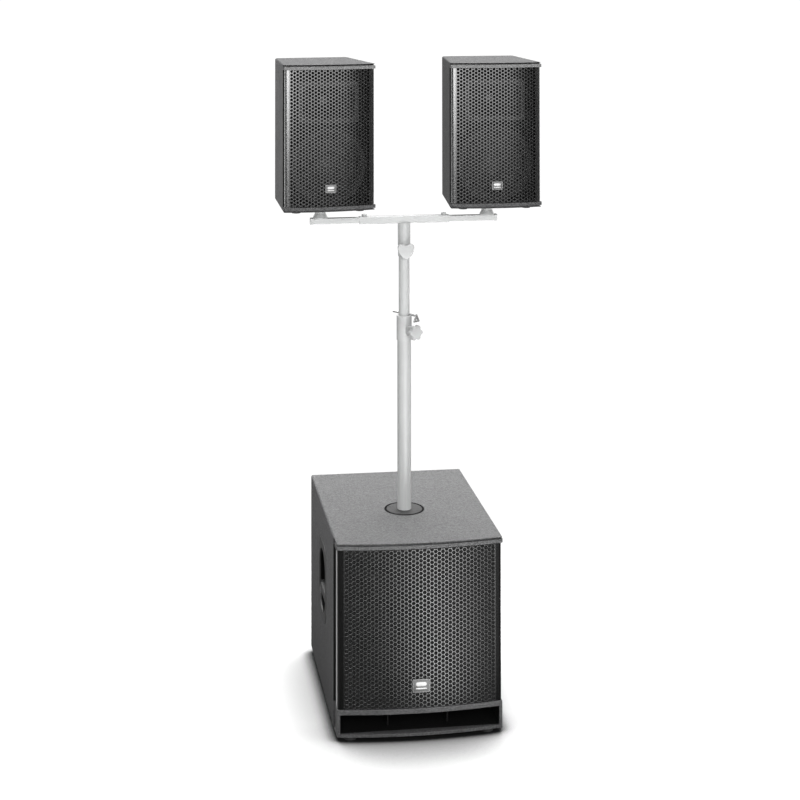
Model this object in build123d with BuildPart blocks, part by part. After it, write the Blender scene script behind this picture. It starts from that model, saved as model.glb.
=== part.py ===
from build123d import *
import math
import os

# Compact powered speaker system: a floor subwoofer, a telescopic pole with a
# sliding T-bar, and two identical satellite speakers.
# Millimetres. Origin on the floor under the centre of the subwoofer, +Z up,
# the fronts face -Y, +X to the right when looking at the front.

os.makedirs("parts", exist_ok=True)

# ------------------------------------------------------- shared dimensions
FIT = 0.05               # clearance between neighbouring pieces
PILOT_R = 2.1            # screw hole radius in wood
AHEAD = 60.0             # how far cuts start in front of a cabinet's corners

FOOT_H = 12.0            # subwoofer foot height
SUB_W = 445.0            # subwoofer cabinet width
SUB_H = 500.0            # cabinet height without the feet
SUB_D = 587.0            # cabinet depth, front corners to back face
SUB_BOW = 18.0           # forward bulge of the front at its middle
SUB_BOT = FOOT_H
SUB_TOP = FOOT_H + SUB_H
SUB_FRONT = -SUB_D / 2   # front corners
SUB_BACK = SUB_D / 2
PANEL = 15.0             # wood panel thickness

RAIL_TOP = 16.0          # top rail above the grille
GRILLE_BOT = SUB_BOT + 70.0   # top of the port shelf, where the grille starts
GRILLE_TOP = SUB_TOP - RAIL_TOP
GRILLE_H = GRILLE_TOP - GRILLE_BOT
RETURN_Y = 34.0          # depth of the grille's folded side returns

POLE_Y = -40.0           # pole axis, in front of the cabinet's middle


# ----------------------------------------------------------------- helpers
def save(part, name):
    """Label a finished part and write its STEP file."""
    part.label = name
    export_step(part, f"parts/{name}.step")


def facing_front(y, z, x=0):
    """Upright plane with its normal to the front and local x along +X."""
    return Plane((x, y, z), x_dir=(1, 0, 0), z_dir=(0, -1, 0))


def facing_back(y, z):
    """Upright plane as seen from behind: local x to the viewer's right."""
    return Plane((0, y, z), x_dir=(-1, 0, 0), z_dir=(0, 1, 0))


def looking_in(y, z, x=0):
    """Upright plane with its normal to the back and local x along +X."""
    return Plane((x, y, z), x_dir=(1, 0, 0), z_dir=(0, 1, 0))


def facing_side(side, x, y, z):
    """Upright plane with its normal along +X or -X and local x along +Y."""
    return Plane((x, y, z), x_dir=(0, 1, 0), z_dir=(side, 0, 0))


def at_pole(z):
    """Level plane centred on the pole axis."""
    return Plane((0, POLE_Y, z))


def spoke(angle, distance, z):
    """Plane standing off the pole axis, its normal pointing out at angle."""
    a = math.radians(angle)
    normal = (math.cos(a), math.sin(a), 0)
    return Plane(
        origin=(distance * normal[0], POLE_Y + distance * normal[1], z),
        x_dir=(-normal[1], normal[0], 0), z_dir=normal)


def block(x, width, y_start, y_end):
    """Rectangle in a plan sketch, centred on x, between two depths."""
    with Locations((x, (y_start + y_end) / 2)):
        Rectangle(width, y_end - y_start)


def bow_arc(width, bow, front):
    """Radius and centre y of a front that bulges by bow ahead of its corners."""
    radius = (width**2 / 4 + bow**2) / (2 * bow)
    return radius, front - bow + radius


def bowed_outline(arc, half, inset, back, back_half=None):
    """Closed plan outline: curved front set back by inset, straight sides."""
    if back_half is None:
        back_half = half
    radius, centre_y = arc
    radius -= inset
    y = centre_y - math.sqrt(radius**2 - half**2)
    ThreePointArc((-half, y), (0, centre_y - radius), (half, y))
    Polyline((half, y), (back_half, back), (-back_half, back), (-half, y))


def profile(start_y, points):
    """Shift (depth, radius) points so that depth counts from start_y."""
    return [(start_y + depth, radius) for depth, radius in points]


def dome(rim_depth, rim_radius, crown_depth, outward):
    """(depth, radius) points of a dust cap, rim to crown or back outward."""
    height = rim_depth - crown_depth
    sphere = (rim_radius**2 + height**2) / (2 * height)
    points = []
    for i in range(13):
        radius = rim_radius * (1 - i / 12)
        points.append((crown_depth + sphere - math.sqrt(sphere**2 - radius**2), radius))
    return points[::-1] if outward else points


# ------------------------------------------------------- subwoofer: cabinet
SUB_ARC = bow_arc(SUB_W, SUB_BOW, SUB_FRONT)
SUB_AHEAD = SUB_FRONT - AHEAD
EDGE_R = 5.0             # roundover on the outer edges

SHELF_BOT = SUB_BOT + 57.0    # underside of the shelf over the port slot
PORT_BOT = SUB_BOT + 7.5      # floor of the port slot
STILE = 10.5             # side stile beside the port mouth
STILE_SET = 2.4          # port frame set in from the cabinet sides
RAIL_DEPTH = 9.0         # cut-back across the front behind the grille

GROOVE_END = SUB_FRONT + 58.0  # end of the cut-back in the side panels
GROOVE_D = 6.0           # depth of the shadow gap around the front
LIP = 1.5                # thin lip of the top panel over that gap
GAP = 5.0                # height of the gap under the lip

HANDLE_Y = 6.0           # handle centre in depth
HANDLE_Z = SUB_BOT + 300.0
HANDLE_W = 160.0
HANDLE_H = 210.0
HANDLE_R = 42.0          # corner radius of the handle flange

AMP_W = 300.0            # amplifier plate
AMP_H = 380.0
AMP_Z = SUB_BOT + 262.0  # plate centre
AMP_EDGE = 6.0           # screw centres in from the plate's edges

FLANGE_R = 49.5          # pole flange radius
FLANGE_PCD = 81.0        # its screw circle
SEAT_DEPTH = 3.0         # flange seat in the top panel

AMP_SCREW_X = AMP_W / 2 - AMP_EDGE
AMP_SCREW_Z = AMP_H / 2 - AMP_EDGE
AMP_SCREWS = [
    (x, AMP_SCREW_Z * row / 3) for x in (-AMP_SCREW_X, AMP_SCREW_X) for row in (-3, -1, 1, 3)]
AMP_SCREWS += [(0, -AMP_SCREW_Z), (0, AMP_SCREW_Z)]


def amp_screw_spots():
    return Locations(*AMP_SCREWS)


def flange_screw_spots():
    return PolarLocations(FLANGE_PCD / 2, 4, start_angle=60)


def foot_spots():
    return GridLocations(SUB_W - 80, SUB_D - 44, 2, 2)


with BuildPart() as sub_cabinet:
    with BuildSketch(Plane.XY.offset(SUB_BOT)):
        with BuildLine():
            bowed_outline(SUB_ARC, SUB_W / 2, 0, SUB_BACK)
        make_face()
    extrude(amount=SUB_H)
    front_arcs = sub_cabinet.edges().filter_by(GeomType.CIRCLE)
    fillet([e for e in sub_cabinet.edges() if e not in front_arcs], EDGE_R)
    # shadow gap under the top lip, round the front
    with BuildSketch(Plane.XY.offset(SUB_TOP - LIP - GAP)):
        block(0, SUB_W + 20, SUB_AHEAD, GROOVE_END)
        with BuildLine():
            bowed_outline(SUB_ARC, SUB_W / 2 - GROOVE_D, GROOVE_D, SUB_FRONT + 90)
        make_face(mode=Mode.SUBTRACT)
    extrude(amount=GAP, mode=Mode.SUBTRACT)
    # the same gap down both sides, behind the front frame
    with BuildSketch(Plane.XY.offset(SUB_BOT + LIP)):
        for side in (-1, 1):
            block(side * SUB_W / 2, 2 * GROOVE_D, SUB_FRONT + RETURN_Y, GROOVE_END)
    extrude(amount=SUB_H - 2 * LIP, mode=Mode.SUBTRACT)
    # sides of the port frame set in
    with BuildSketch(Plane.XY.offset(SUB_BOT - 1)):
        for side in (-1, 1):
            block(side * SUB_W / 2, 2 * STILE_SET, SUB_AHEAD, SUB_FRONT + RETURN_Y + 0.01)
    extrude(amount=GRILLE_BOT - SUB_BOT + 1.01, mode=Mode.SUBTRACT)
    # chamber, open to the front above the port slot
    with BuildSketch(Plane.XY.offset(SHELF_BOT)):
        block(0, SUB_W - 2 * PANEL, SUB_AHEAD, SUB_BACK - PANEL)
    extrude(amount=GRILLE_TOP - SHELF_BOT, mode=Mode.SUBTRACT)
    # port duct along the floor
    with BuildSketch(Plane.XY.offset(PORT_BOT)):
        block(0, SUB_W - 2 * STILE, SUB_AHEAD, SUB_BACK - PANEL)
    extrude(amount=SHELF_BOT - PORT_BOT + 0.01, mode=Mode.SUBTRACT)
    # front of the side panels cut back behind the grille
    with BuildSketch(Plane.XY.offset(GRILLE_BOT)):
        block(0, SUB_W + 10, SUB_AHEAD, SUB_FRONT + RAIL_DEPTH)
        for side in (-1, 1):
            block(side * SUB_W / 2, 2 * GROOVE_D, SUB_AHEAD, GROOVE_END)
    extrude(amount=GRILLE_H, mode=Mode.SUBTRACT)
    # handle openings through both side panels, then their flange rebates
    with BuildSketch(facing_side(1, -SUB_W / 2 - 5, HANDLE_Y, HANDLE_Z)):
        RectangleRounded(HANDLE_W - 14, HANDLE_H - 14, 36)
    extrude(amount=SUB_W + 10, mode=Mode.SUBTRACT)
    for side in (-1, 1):
        with BuildSketch(facing_side(side, side * SUB_W / 2, HANDLE_Y, HANDLE_Z)):
            RectangleRounded(HANDLE_W + 1, HANDLE_H + 1, HANDLE_R)
        extrude(amount=-2.2, mode=Mode.SUBTRACT)
    # amplifier rebate, opening and screw holes in the back panel
    with BuildSketch(facing_back(SUB_BACK + 1, AMP_Z)):
        RectangleRounded(AMP_W + 0.8, AMP_H + 0.8, 6)
    extrude(amount=-4, mode=Mode.SUBTRACT)
    with BuildSketch(facing_back(SUB_BACK + 1, AMP_Z)):
        RectangleRounded(AMP_W - 24, AMP_H - 24, 6)
    extrude(amount=-30, mode=Mode.SUBTRACT)
    with BuildSketch(facing_back(SUB_BACK + 1, AMP_Z)):
        with amp_screw_spots():
            Circle(PILOT_R)
    extrude(amount=-15, mode=Mode.SUBTRACT)
    # pole flange seat in the top panel
    with BuildSketch(at_pole(SUB_TOP)):
        Circle(FLANGE_R + 2.8)
    extrude(amount=-SEAT_DEPTH, mode=Mode.SUBTRACT)
    with BuildSketch(at_pole(SUB_TOP)):
        Circle(30)
        with flange_screw_spots():
            Circle(PILOT_R)
    extrude(amount=-PANEL - 1, mode=Mode.SUBTRACT)
    # foot screw holes in the underside
    with BuildSketch(Plane.XY.offset(SUB_BOT)):
        with foot_spots():
            Circle(PILOT_R)
    extrude(amount=7.2, mode=Mode.SUBTRACT)
save(sub_cabinet.part, "sub_cabinet")

# shelf that forms the roof of the port slot, its front edge follows the bow
with BuildPart() as port_shelf:
    with BuildSketch(Plane.XY.offset(SHELF_BOT + FIT)):
        with BuildLine():
            bowed_outline(SUB_ARC, SUB_W / 2 - PANEL - FIT, 0.3, SUB_FRONT + 430)
        make_face()
    extrude(amount=GRILLE_BOT - SHELF_BOT - 2 * FIT)
    fillet(port_shelf.edges().filter_by(GeomType.CIRCLE), 1.5)
save(port_shelf.part, "port_shelf")

# two thin upright ribs in the port slot, set back from its mouth
RIB_T = 4.5
RIB_START = SUB_FRONT + 40
RIB_LENGTH = 360.0
with BuildPart() as port_ribs:
    with BuildSketch(Plane.XY.offset(PORT_BOT + FIT)):
        for x in (-80, 80):
            block(x, RIB_T, RIB_START, RIB_START + RIB_LENGTH)
    extrude(amount=SHELF_BOT - PORT_BOT - 2 * FIT)
    fillet(port_ribs.edges().filter_by(Axis.Z).group_by(Axis.Y)[0], 1.2)
save(port_ribs.part, "port_ribs")

# baffle board with the woofer opening
WOOFER_Z = SUB_BOT + 277.0    # woofer axis
WOOFER_Y = SUB_FRONT + 24.0   # front face of the baffle
BAFFLE_T = 18.0


def woofer_bolt_spots():
    return PolarLocations(185, 8, start_angle=22.5)


with BuildPart() as sub_baffle:
    with BuildSketch(looking_in(WOOFER_Y, (GRILLE_BOT + GRILLE_TOP) / 2)):
        Rectangle(SUB_W - 2 * PANEL - 2 * FIT, GRILLE_H - 2 * FIT)
    extrude(amount=BAFFLE_T)
    with BuildSketch(looking_in(WOOFER_Y, WOOFER_Z)):
        Circle(177)
        with woofer_bolt_spots():
            Circle(2.6)
    extrude(amount=BAFFLE_T, mode=Mode.SUBTRACT)
save(sub_baffle.part, "sub_baffle")

# ------------------------------------------------ subwoofer: grille and foam
GRILLE_SET = 4.0         # grille face behind the rails
SHEET_T = 1.5            # grille sheet thickness
SHEET_SET = GRILLE_SET + SHEET_T
GRILLE_HALF = SUB_W / 2 - GRILLE_SET

with BuildPart() as sub_grille:
    with BuildSketch(Plane.XY.offset(GRILLE_BOT + 0.5)) as grille_plan:
        with BuildLine():
            bowed_outline(SUB_ARC, GRILLE_HALF, GRILLE_SET, SUB_FRONT + RETURN_Y)
        make_face()
        # rear ends of the side returns
        fillet(grille_plan.vertices().group_by(Axis.Y)[1], 7)
    extrude(amount=GRILLE_H - 3.5)
    with BuildSketch(Plane.XY.offset(GRILLE_BOT)) as grille_core:
        with BuildLine():
            bowed_outline(
                SUB_ARC, GRILLE_HALF - SHEET_T, SHEET_SET, SUB_FRONT + RETURN_Y + 30)
        make_face()
        # front folds
        fillet(grille_core.vertices().group_by(Axis.Y)[0], 5.5)
    extrude(amount=GRILLE_H, mode=Mode.SUBTRACT)
save(sub_grille.part, "sub_grille")

FOAM_T = 5.0
FOAM_SET = SHEET_SET + 0.3    # foam face just behind the sheet
with BuildPart() as grille_foam:
    with BuildSketch(Plane.XY.offset(GRILLE_BOT + 2)):
        with BuildLine():
            bowed_outline(SUB_ARC, GRILLE_HALF - 12, FOAM_SET, SUB_FRONT + 100)
        make_face()
        with BuildLine():
            bowed_outline(SUB_ARC, GRILLE_HALF - 11, FOAM_SET + FOAM_T, SUB_FRONT + 120)
        make_face(mode=Mode.SUBTRACT)
    extrude(amount=GRILLE_H - 4)
save(grille_foam.part, "grille_foam")

with BuildPart() as sub_badge:
    with BuildSketch(facing_front(SUB_FRONT - SUB_BOW + GRILLE_SET - FIT, SUB_BOT + 128)):
        RectangleRounded(46, 34, 3)
    extrude(amount=2.6)
    fillet(sub_badge.faces().sort_by(Axis.Y)[0].edges(), 0.8)
save(sub_badge.part, "sub_badge")

# ---------------------------------------------------------- woofer (15 inch)
# Revolved sections are drawn as (depth, radius); tables count depth from the
# baffle front unless another start is given.
WOOFER_SECTION = facing_side(1, 0, 0, WOOFER_Z)
WOOFER_AXIS = Axis((0, 0, WOOFER_Z), (0, 1, 0))

BASKET = [
    (-6.05, 171), (-6.05, 193), (-0.05, 193), (-0.05, 176), (20, 174),
    (110, 96), (113, 96), (113, 46), (108, 46), (108, 88),
    (88, 105), (88, 98), (84, 98), (84, 109), (18, 168)]
with BuildPart() as woofer_basket:
    with BuildSketch(WOOFER_SECTION):
        with BuildLine():
            Polyline(*profile(WOOFER_Y, BASKET), close=True)
        make_face()
    revolve(axis=WOOFER_AXIS)
    # six windows between the spokes
    with BuildSketch(looking_in(WOOFER_Y + 26, WOOFER_Z)):
        with PolarLocations(138, 6, start_angle=30):
            Rectangle(52, 96)
    extrude(amount=52, mode=Mode.SUBTRACT)
    with BuildSketch(looking_in(WOOFER_Y, WOOFER_Z)):
        with woofer_bolt_spots():
            Circle(2.8)
    extrude(amount=-10, mode=Mode.SUBTRACT)
save(woofer_basket.part, "woofer_basket")

# depth from the back of the basket
MAGNET_Y = WOOFER_Y + 113 + FIT
MAGNET = [
    (0, 41.5), (0, 70), (10, 70), (10, 92), (36, 92), (36, 86), (48, 86),
    (48, 12), (0, 12), (0, 36), (36, 36), (36, 41.5)]
with BuildPart() as woofer_magnet:
    with BuildSketch(WOOFER_SECTION):
        with BuildLine():
            Polyline(*profile(MAGNET_Y, MAGNET), close=True)
        make_face()
    revolve(axis=WOOFER_AXIS)
save(woofer_magnet.part, "woofer_magnet")

ROLL_R = 168.3           # radius of the surround's half roll about the axis
with BuildPart() as woofer_surround:
    with BuildSketch(WOOFER_SECTION):
        with BuildLine():
            rim = Polyline(*profile(WOOFER_Y, [(-6.1, 186), (-7.6, 186), (-7.6, 175)]))
            front_roll = ThreePointArc(
                rim @ 1, (WOOFER_Y - 14.6, ROLL_R), (WOOFER_Y - 7.6, 161.6))
            inner_edge = Polyline(
                front_roll @ 1, (WOOFER_Y - 6.3, 161.6), (WOOFER_Y - 6.3, 163.0))
            rear_roll = ThreePointArc(
                inner_edge @ 1, (WOOFER_Y - 13.1, ROLL_R), (WOOFER_Y - 6.3, 173.6))
            Polyline(rear_roll @ 1, (WOOFER_Y - 6.1, 175.0), rim @ 0)
        make_face()
    revolve(axis=WOOFER_AXIS)
    # clearance round the bolt heads
    with BuildSketch(looking_in(WOOFER_Y, WOOFER_Z)):
        with woofer_bolt_spots():
            Circle(5.6)
    extrude(amount=-20, mode=Mode.SUBTRACT)
save(woofer_surround.part, "woofer_surround")

# depth from the cone's front edge: dust cap, voice coil former, cone
CONE_Y = WOOFER_Y - 4.0
CONE = [
    (0, 158), *dome(62.07, 60, 42, outward=False), *dome(63.21, 58.2, 43.5, outward=True),
    (76, 38), (122, 38), (122, 39.4), (78.4, 39.4), (1.6, 160.6), (0, 158)]
with BuildPart() as woofer_cone:
    with BuildSketch(WOOFER_SECTION):
        with BuildLine():
            Polyline(*profile(CONE_Y, CONE))
        make_face()
    revolve(axis=WOOFER_AXIS)
save(woofer_cone.part, "woofer_cone")

SPIDER_T = 1.2
SPIDER_BACK = [(82.4 + (1.2 if i % 2 else 0.0), 40.2 + i * 6.4) for i in range(10)]
SPIDER_BACK += [(83.9, 103.8)]
SPIDER_FRONT = [(depth - SPIDER_T, radius) for depth, radius in reversed(SPIDER_BACK)]
with BuildPart() as woofer_spider:
    with BuildSketch(WOOFER_SECTION):
        with BuildLine():
            Polyline(*profile(WOOFER_Y, SPIDER_BACK + SPIDER_FRONT), close=True)
        make_face()
    revolve(axis=WOOFER_AXIS)
save(woofer_spider.part, "woofer_spider")

BOLT_Y = WOOFER_Y - 6.1  # under the bolt heads
BOLT_HEAD_H = 4.0
with BuildPart() as woofer_bolts:
    with BuildSketch(facing_front(BOLT_Y, WOOFER_Z)):
        with woofer_bolt_spots():
            Circle(4.5)
    extrude(amount=BOLT_HEAD_H)
    with BuildSketch(looking_in(BOLT_Y, WOOFER_Z)):
        with woofer_bolt_spots():
            Circle(2.5)
    extrude(amount=22)
    # hexagon sockets
    with BuildSketch(looking_in(BOLT_Y - BOLT_HEAD_H, WOOFER_Z)):
        with woofer_bolt_spots():
            RegularPolygon(2.4, 6)
    extrude(amount=2.4, mode=Mode.SUBTRACT)
save(woofer_bolts.part, "woofer_bolts")

# ------------------------------------------------------------- cup handles
BAR_LENGTH = 136.0       # rounded bar across the inside of each cup
with BuildPart() as side_handles:
    for side in (-1, 1):
        flange_back = facing_side(side, side * (SUB_W / 2 - 2), HANDLE_Y, HANDLE_Z)
        with BuildSketch(flange_back):
            RectangleRounded(HANDLE_W, HANDLE_H, HANDLE_R)
        extrude(amount=3)
        with BuildSketch(flange_back):
            RectangleRounded(HANDLE_W - 15, HANDLE_H - 15, 35)
        extrude(amount=-58, taper=4)
    fillet(side_handles.faces().group_by(Axis.X)[0].edges(), 1.5)
    fillet(side_handles.faces().group_by(Axis.X)[-1].edges(), 1.5)
    for side in (-1, 1):
        with BuildSketch(facing_side(side, side * (SUB_W / 2 + 1), HANDLE_Y, HANDLE_Z - 3)):
            RectangleRounded(HANDLE_W - 30, HANDLE_H - 40, 60)
        extrude(amount=-56, taper=3, mode=Mode.SUBTRACT)
        with BuildSketch(looking_in(
                HANDLE_Y - BAR_LENGTH / 2, HANDLE_Z - 42, side * (SUB_W / 2 - 12))):
            RectangleRounded(20, 33, 9)
        extrude(amount=BAR_LENGTH)
save(side_handles.part, "side_handles")

# ------------------------------------------------------------------- feet
FOOT_SINK = 6.0          # depth of the screw head recess
with BuildPart() as feet:
    with BuildSketch(Plane.XY):
        with foot_spots():
            Circle(17)
    extrude(amount=FOOT_H - FIT, taper=-8)
    with BuildSketch(Plane.XY):
        with foot_spots():
            Circle(6)
    extrude(amount=FOOT_SINK, mode=Mode.SUBTRACT)
    with BuildSketch(Plane.XY):
        with foot_spots():
            Circle(2.3)
    extrude(amount=FOOT_H, mode=Mode.SUBTRACT)
save(feet.part, "feet")

# ------------------------------------------------------------ pole flange
FLANGE_T = 4.0
FLANGE_BOT = SUB_TOP - SEAT_DEPTH + FIT
FLANGE_TOP = FLANGE_BOT + FLANGE_T
FLANGE_SINK = 2.0        # depth of its screw head recesses
with BuildPart() as pole_flange:
    with BuildSketch(at_pole(FLANGE_BOT)):
        Circle(FLANGE_R)
    extrude(amount=FLANGE_T)
    fillet(pole_flange.faces().sort_by(Axis.Z)[-1].edges(), 1.6)
    with BuildSketch(at_pole(FLANGE_BOT)):
        Circle(28)
    extrude(amount=-67)
    with BuildSketch(at_pole(SUB_TOP + 5)):
        Circle(10)
    extrude(amount=-90, mode=Mode.SUBTRACT)
    with BuildSketch(at_pole(SUB_TOP + 5)):
        with flange_screw_spots():
            Circle(2.7)
    extrude(amount=-20, mode=Mode.SUBTRACT)
    with BuildSketch(at_pole(FLANGE_TOP)):
        with flange_screw_spots():
            Circle(4.9)
    extrude(amount=-FLANGE_SINK, mode=Mode.SUBTRACT)
save(pole_flange.part, "pole_flange")

# ------------------------------------------- pan-head screws, all the same
HEAD_R = 4.2
HEAD_H = 2.2
SHANK_R = 2.0
SHANK_LENGTH = 13.0
AMP_SEAT = facing_back(SUB_BACK - 0.05, AMP_Z)
FLANGE_SEAT = at_pole(FLANGE_TOP - FLANGE_SINK + FIT)
FOOT_SEAT = Plane.XY.offset(FOOT_SINK - FIT)
# plane under the heads, where the screws are, side of the plane the heads are on
SCREW_GROUPS = (
    (AMP_SEAT, amp_screw_spots, 1),
    (FLANGE_SEAT, flange_screw_spots, 1),
    (FOOT_SEAT, foot_spots, -1))
with BuildPart() as panel_screws:
    for seat_plane, spots, head_side in SCREW_GROUPS:
        with BuildSketch(seat_plane):
            with spots():
                Circle(HEAD_R)
        extrude(amount=head_side * HEAD_H)
        with BuildSketch(seat_plane):
            with spots():
                Circle(SHANK_R)
        extrude(amount=-head_side * SHANK_LENGTH)
    # cross recesses, not on the foot screws
    for seat_plane, spots, _ in SCREW_GROUPS[:2]:
        with BuildSketch(seat_plane.offset(HEAD_H + 0.1)):
            with spots():
                Rectangle(4.4, 0.9)
                Rectangle(0.9, 4.4)
        extrude(amount=-1.4, mode=Mode.SUBTRACT)
save(panel_screws.part, "panel_screws")

# --------------------------------------------------- amplifier at the back
# positions on the plate seen from behind: u to the viewer's right, v up
KNOBS = {"main_knob": (88, 128), "sub_knob": (88, 84), "high_knob": (88, 40)}
SIGNAL = ((-100, 128), (-100, 84), (-50, 128), (-50, 84))
SPEAKER = ((-100, 24), (-50, 24))
INLET_U, INLET_V = 86, -140
LIFT_U, LIFT_V = -75, 156
PLATE_OUT = facing_back(SUB_BACK, AMP_Z)

PLATE_T = 2.9
with BuildPart() as amp_plate:
    with BuildSketch(facing_back(SUB_BACK - FIT - PLATE_T, AMP_Z)):
        RectangleRounded(AMP_W, AMP_H, 5)
        with amp_screw_spots():
            Circle(2.5, mode=Mode.SUBTRACT)
        with Locations(*SIGNAL, *SPEAKER):
            Circle(12.1, mode=Mode.SUBTRACT)
        with Locations(*KNOBS.values()):
            Circle(4.0, mode=Mode.SUBTRACT)
        with Locations((INLET_U, INLET_V)):
            Rectangle(29, 66, mode=Mode.SUBTRACT)
        with Locations((LIFT_U, LIFT_V)):
            Rectangle(11, 5.4, mode=Mode.SUBTRACT)
    extrude(amount=PLATE_T)
    fillet(amp_plate.faces().sort_by(Axis.Y)[-1].outer_wire().edges(), 0.8)
save(amp_plate.part, "amp_plate")

SINK_SPOT = (-44, -93)
SINK_W = 188.0
SINK_H = 156.0
SINK_BASE_T = 3.0
FIN_N = 15
FIN_T = 2.0
with BuildPart() as heat_sink:
    with BuildSketch(PLATE_OUT):
        with Locations(SINK_SPOT):
            Rectangle(SINK_W, SINK_H)
    extrude(amount=SINK_BASE_T)
    with BuildSketch(PLATE_OUT.offset(SINK_BASE_T)):
        with Locations(SINK_SPOT):
            with GridLocations((SINK_W - FIN_T) / (FIN_N - 1), 1, FIN_N, 1):
                Rectangle(FIN_T, SINK_H)
    extrude(amount=15)
save(heat_sink.part, "heat_sink")

BOARD_Y = SUB_BACK - 34
BOARD_T = 2.0
with BuildPart() as amp_board:
    with BuildSketch(facing_back(BOARD_Y, AMP_Z + 20)):
        Rectangle(250, 280)
    extrude(amount=-BOARD_T)
    # round and rectangular components on the board
    with BuildSketch(facing_back(BOARD_Y - BOARD_T, AMP_Z + 20)):
        with Locations((-90, 90), (-60, 90), (-30, 90), (-90, 55)):
            Circle(11)
        with Locations((70, 60), (70, 10)):
            Rectangle(36, 30)
        with Locations((0, -50)):
            Rectangle(90, 24)
    extrude(amount=-26)
save(amp_board.part, "amp_board")

with BuildPart() as power_transformer:
    with BuildSketch(looking_in(SUB_BACK - 100, AMP_Z - 120, -60)):
        Circle(52)
        Circle(17, mode=Mode.SUBTRACT)
    extrude(amount=46)
    fillet(power_transformer.edges().filter_by(GeomType.CIRCLE), 8)
save(power_transformer.part, "power_transformer")

SOCKET_FACE = PLATE_OUT.offset(2)     # outer face of the socket flanges


def socket_bodies(places):
    """Flanged round socket bodies with two shallow corner recesses each."""
    with BuildPart() as bodies:
        with BuildSketch(PLATE_OUT):
            with Locations(*places):
                RectangleRounded(26, 31, 3)
        extrude(amount=2)
        with BuildSketch(PLATE_OUT):
            with Locations(*places):
                Circle(11.9)
        extrude(amount=-24)
        with BuildSketch(SOCKET_FACE):
            with Locations(*places):
                with Locations((-9.6, 12), (9.6, -12)):
                    Circle(1.7)
        extrude(amount=-1.2, mode=Mode.SUBTRACT)
    return bodies.part


with BuildPart() as signal_sockets:
    add(socket_bodies(SIGNAL))
    # bore with a keyway at the top
    with BuildSketch(SOCKET_FACE):
        with Locations(*SIGNAL):
            Circle(9.4)
            with Locations((0, 8.6)):
                Rectangle(4, 4)
    extrude(amount=-15, mode=Mode.SUBTRACT)
    # three pins standing on the floor of each bore
    with BuildSketch(SOCKET_FACE.offset(-15)):
        with Locations(*SIGNAL):
            with PolarLocations(5, 3, start_angle=90, rotate=False):
                Circle(1.2)
    extrude(amount=9)
save(signal_sockets.part, "signal_sockets")

with BuildPart() as speaker_outputs:
    add(socket_bodies(SPEAKER))
    # ring groove round a centre post, then a bore in the post
    with BuildSketch(SOCKET_FACE):
        with Locations(*SPEAKER):
            Circle(10.2)
            Circle(6.0, mode=Mode.SUBTRACT)
    extrude(amount=-18, mode=Mode.SUBTRACT)
    with BuildSketch(SOCKET_FACE):
        with Locations(*SPEAKER):
            Circle(4.0)
    extrude(amount=-10, mode=Mode.SUBTRACT)
save(speaker_outputs.part, "speaker_outputs")

# mains inlet moulded together with the frame of the power rocker
INLET_T = 2.5            # flange thickness
SOCKET_V = INLET_V - 14  # centre of the inlet socket
ROCKER_V = INLET_V + 20  # centre of the rocker
with BuildPart() as mains_inlet:
    with BuildSketch(PLATE_OUT):
        with Locations((INLET_U, INLET_V)):
            RectangleRounded(48, 72, 4)
    extrude(amount=INLET_T)
    with BuildSketch(PLATE_OUT):
        with Locations((INLET_U, INLET_V)):
            Rectangle(28.6, 65.6)
    extrude(amount=-28)
    with BuildSketch(PLATE_OUT.offset(INLET_T)):
        with Locations((INLET_U, SOCKET_V)):
            RectangleRounded(24, 17, 3)
    extrude(amount=-20, mode=Mode.SUBTRACT)
    # three blades in the socket
    with BuildSketch(PLATE_OUT.offset(-18.0)):
        with Locations((INLET_U, SOCKET_V)):
            with Locations((-7, -2), (7, -2), (0, 3)):
                Rectangle(1.6, 4.5)
    extrude(amount=12)
    with BuildSketch(PLATE_OUT.offset(INLET_T)):
        with Locations((INLET_U, ROCKER_V)):
            Rectangle(20, 24)
    extrude(amount=-16, mode=Mode.SUBTRACT)
save(mains_inlet.part, "mains_inlet")

# rocker, resting in its off position: it turns 16 degrees about X to on
ROCKER_Y = SUB_BACK - 6.0
ROCKER_W = 18.4
ROCKER_TILT = math.radians(8.0)
with BuildPart() as power_switch:
    rocker_section = Plane(
        origin=(-INLET_U - ROCKER_W / 2, ROCKER_Y, AMP_Z + ROCKER_V),
        x_dir=(0, math.cos(ROCKER_TILT), math.sin(ROCKER_TILT)), z_dir=(1, 0, 0))
    with BuildSketch(rocker_section):
        with BuildLine():
            Polyline((-3, -9.6), (7.6, -10.2), (6.4, 0), (7.6, 10.2), (-3, 9.6), close=True)
        make_face()
    extrude(amount=ROCKER_W)
    rocker_ends = power_switch.edges().filter_by(Axis.X).sort_by(Axis.Z)
    fillet([rocker_ends[0], rocker_ends[-1]], 0.8)
save(power_switch.part, "power_switch")

with BuildPart() as lift_switch:
    with BuildSketch(PLATE_OUT.offset(-8)):
        with Locations((LIFT_U - 2, LIFT_V)):
            Rectangle(5.6, 4.4)
    extrude(amount=10.5)
    fillet(lift_switch.faces().sort_by(Axis.Y)[-1].edges(), 0.5)
save(lift_switch.part, "lift_switch")


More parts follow.
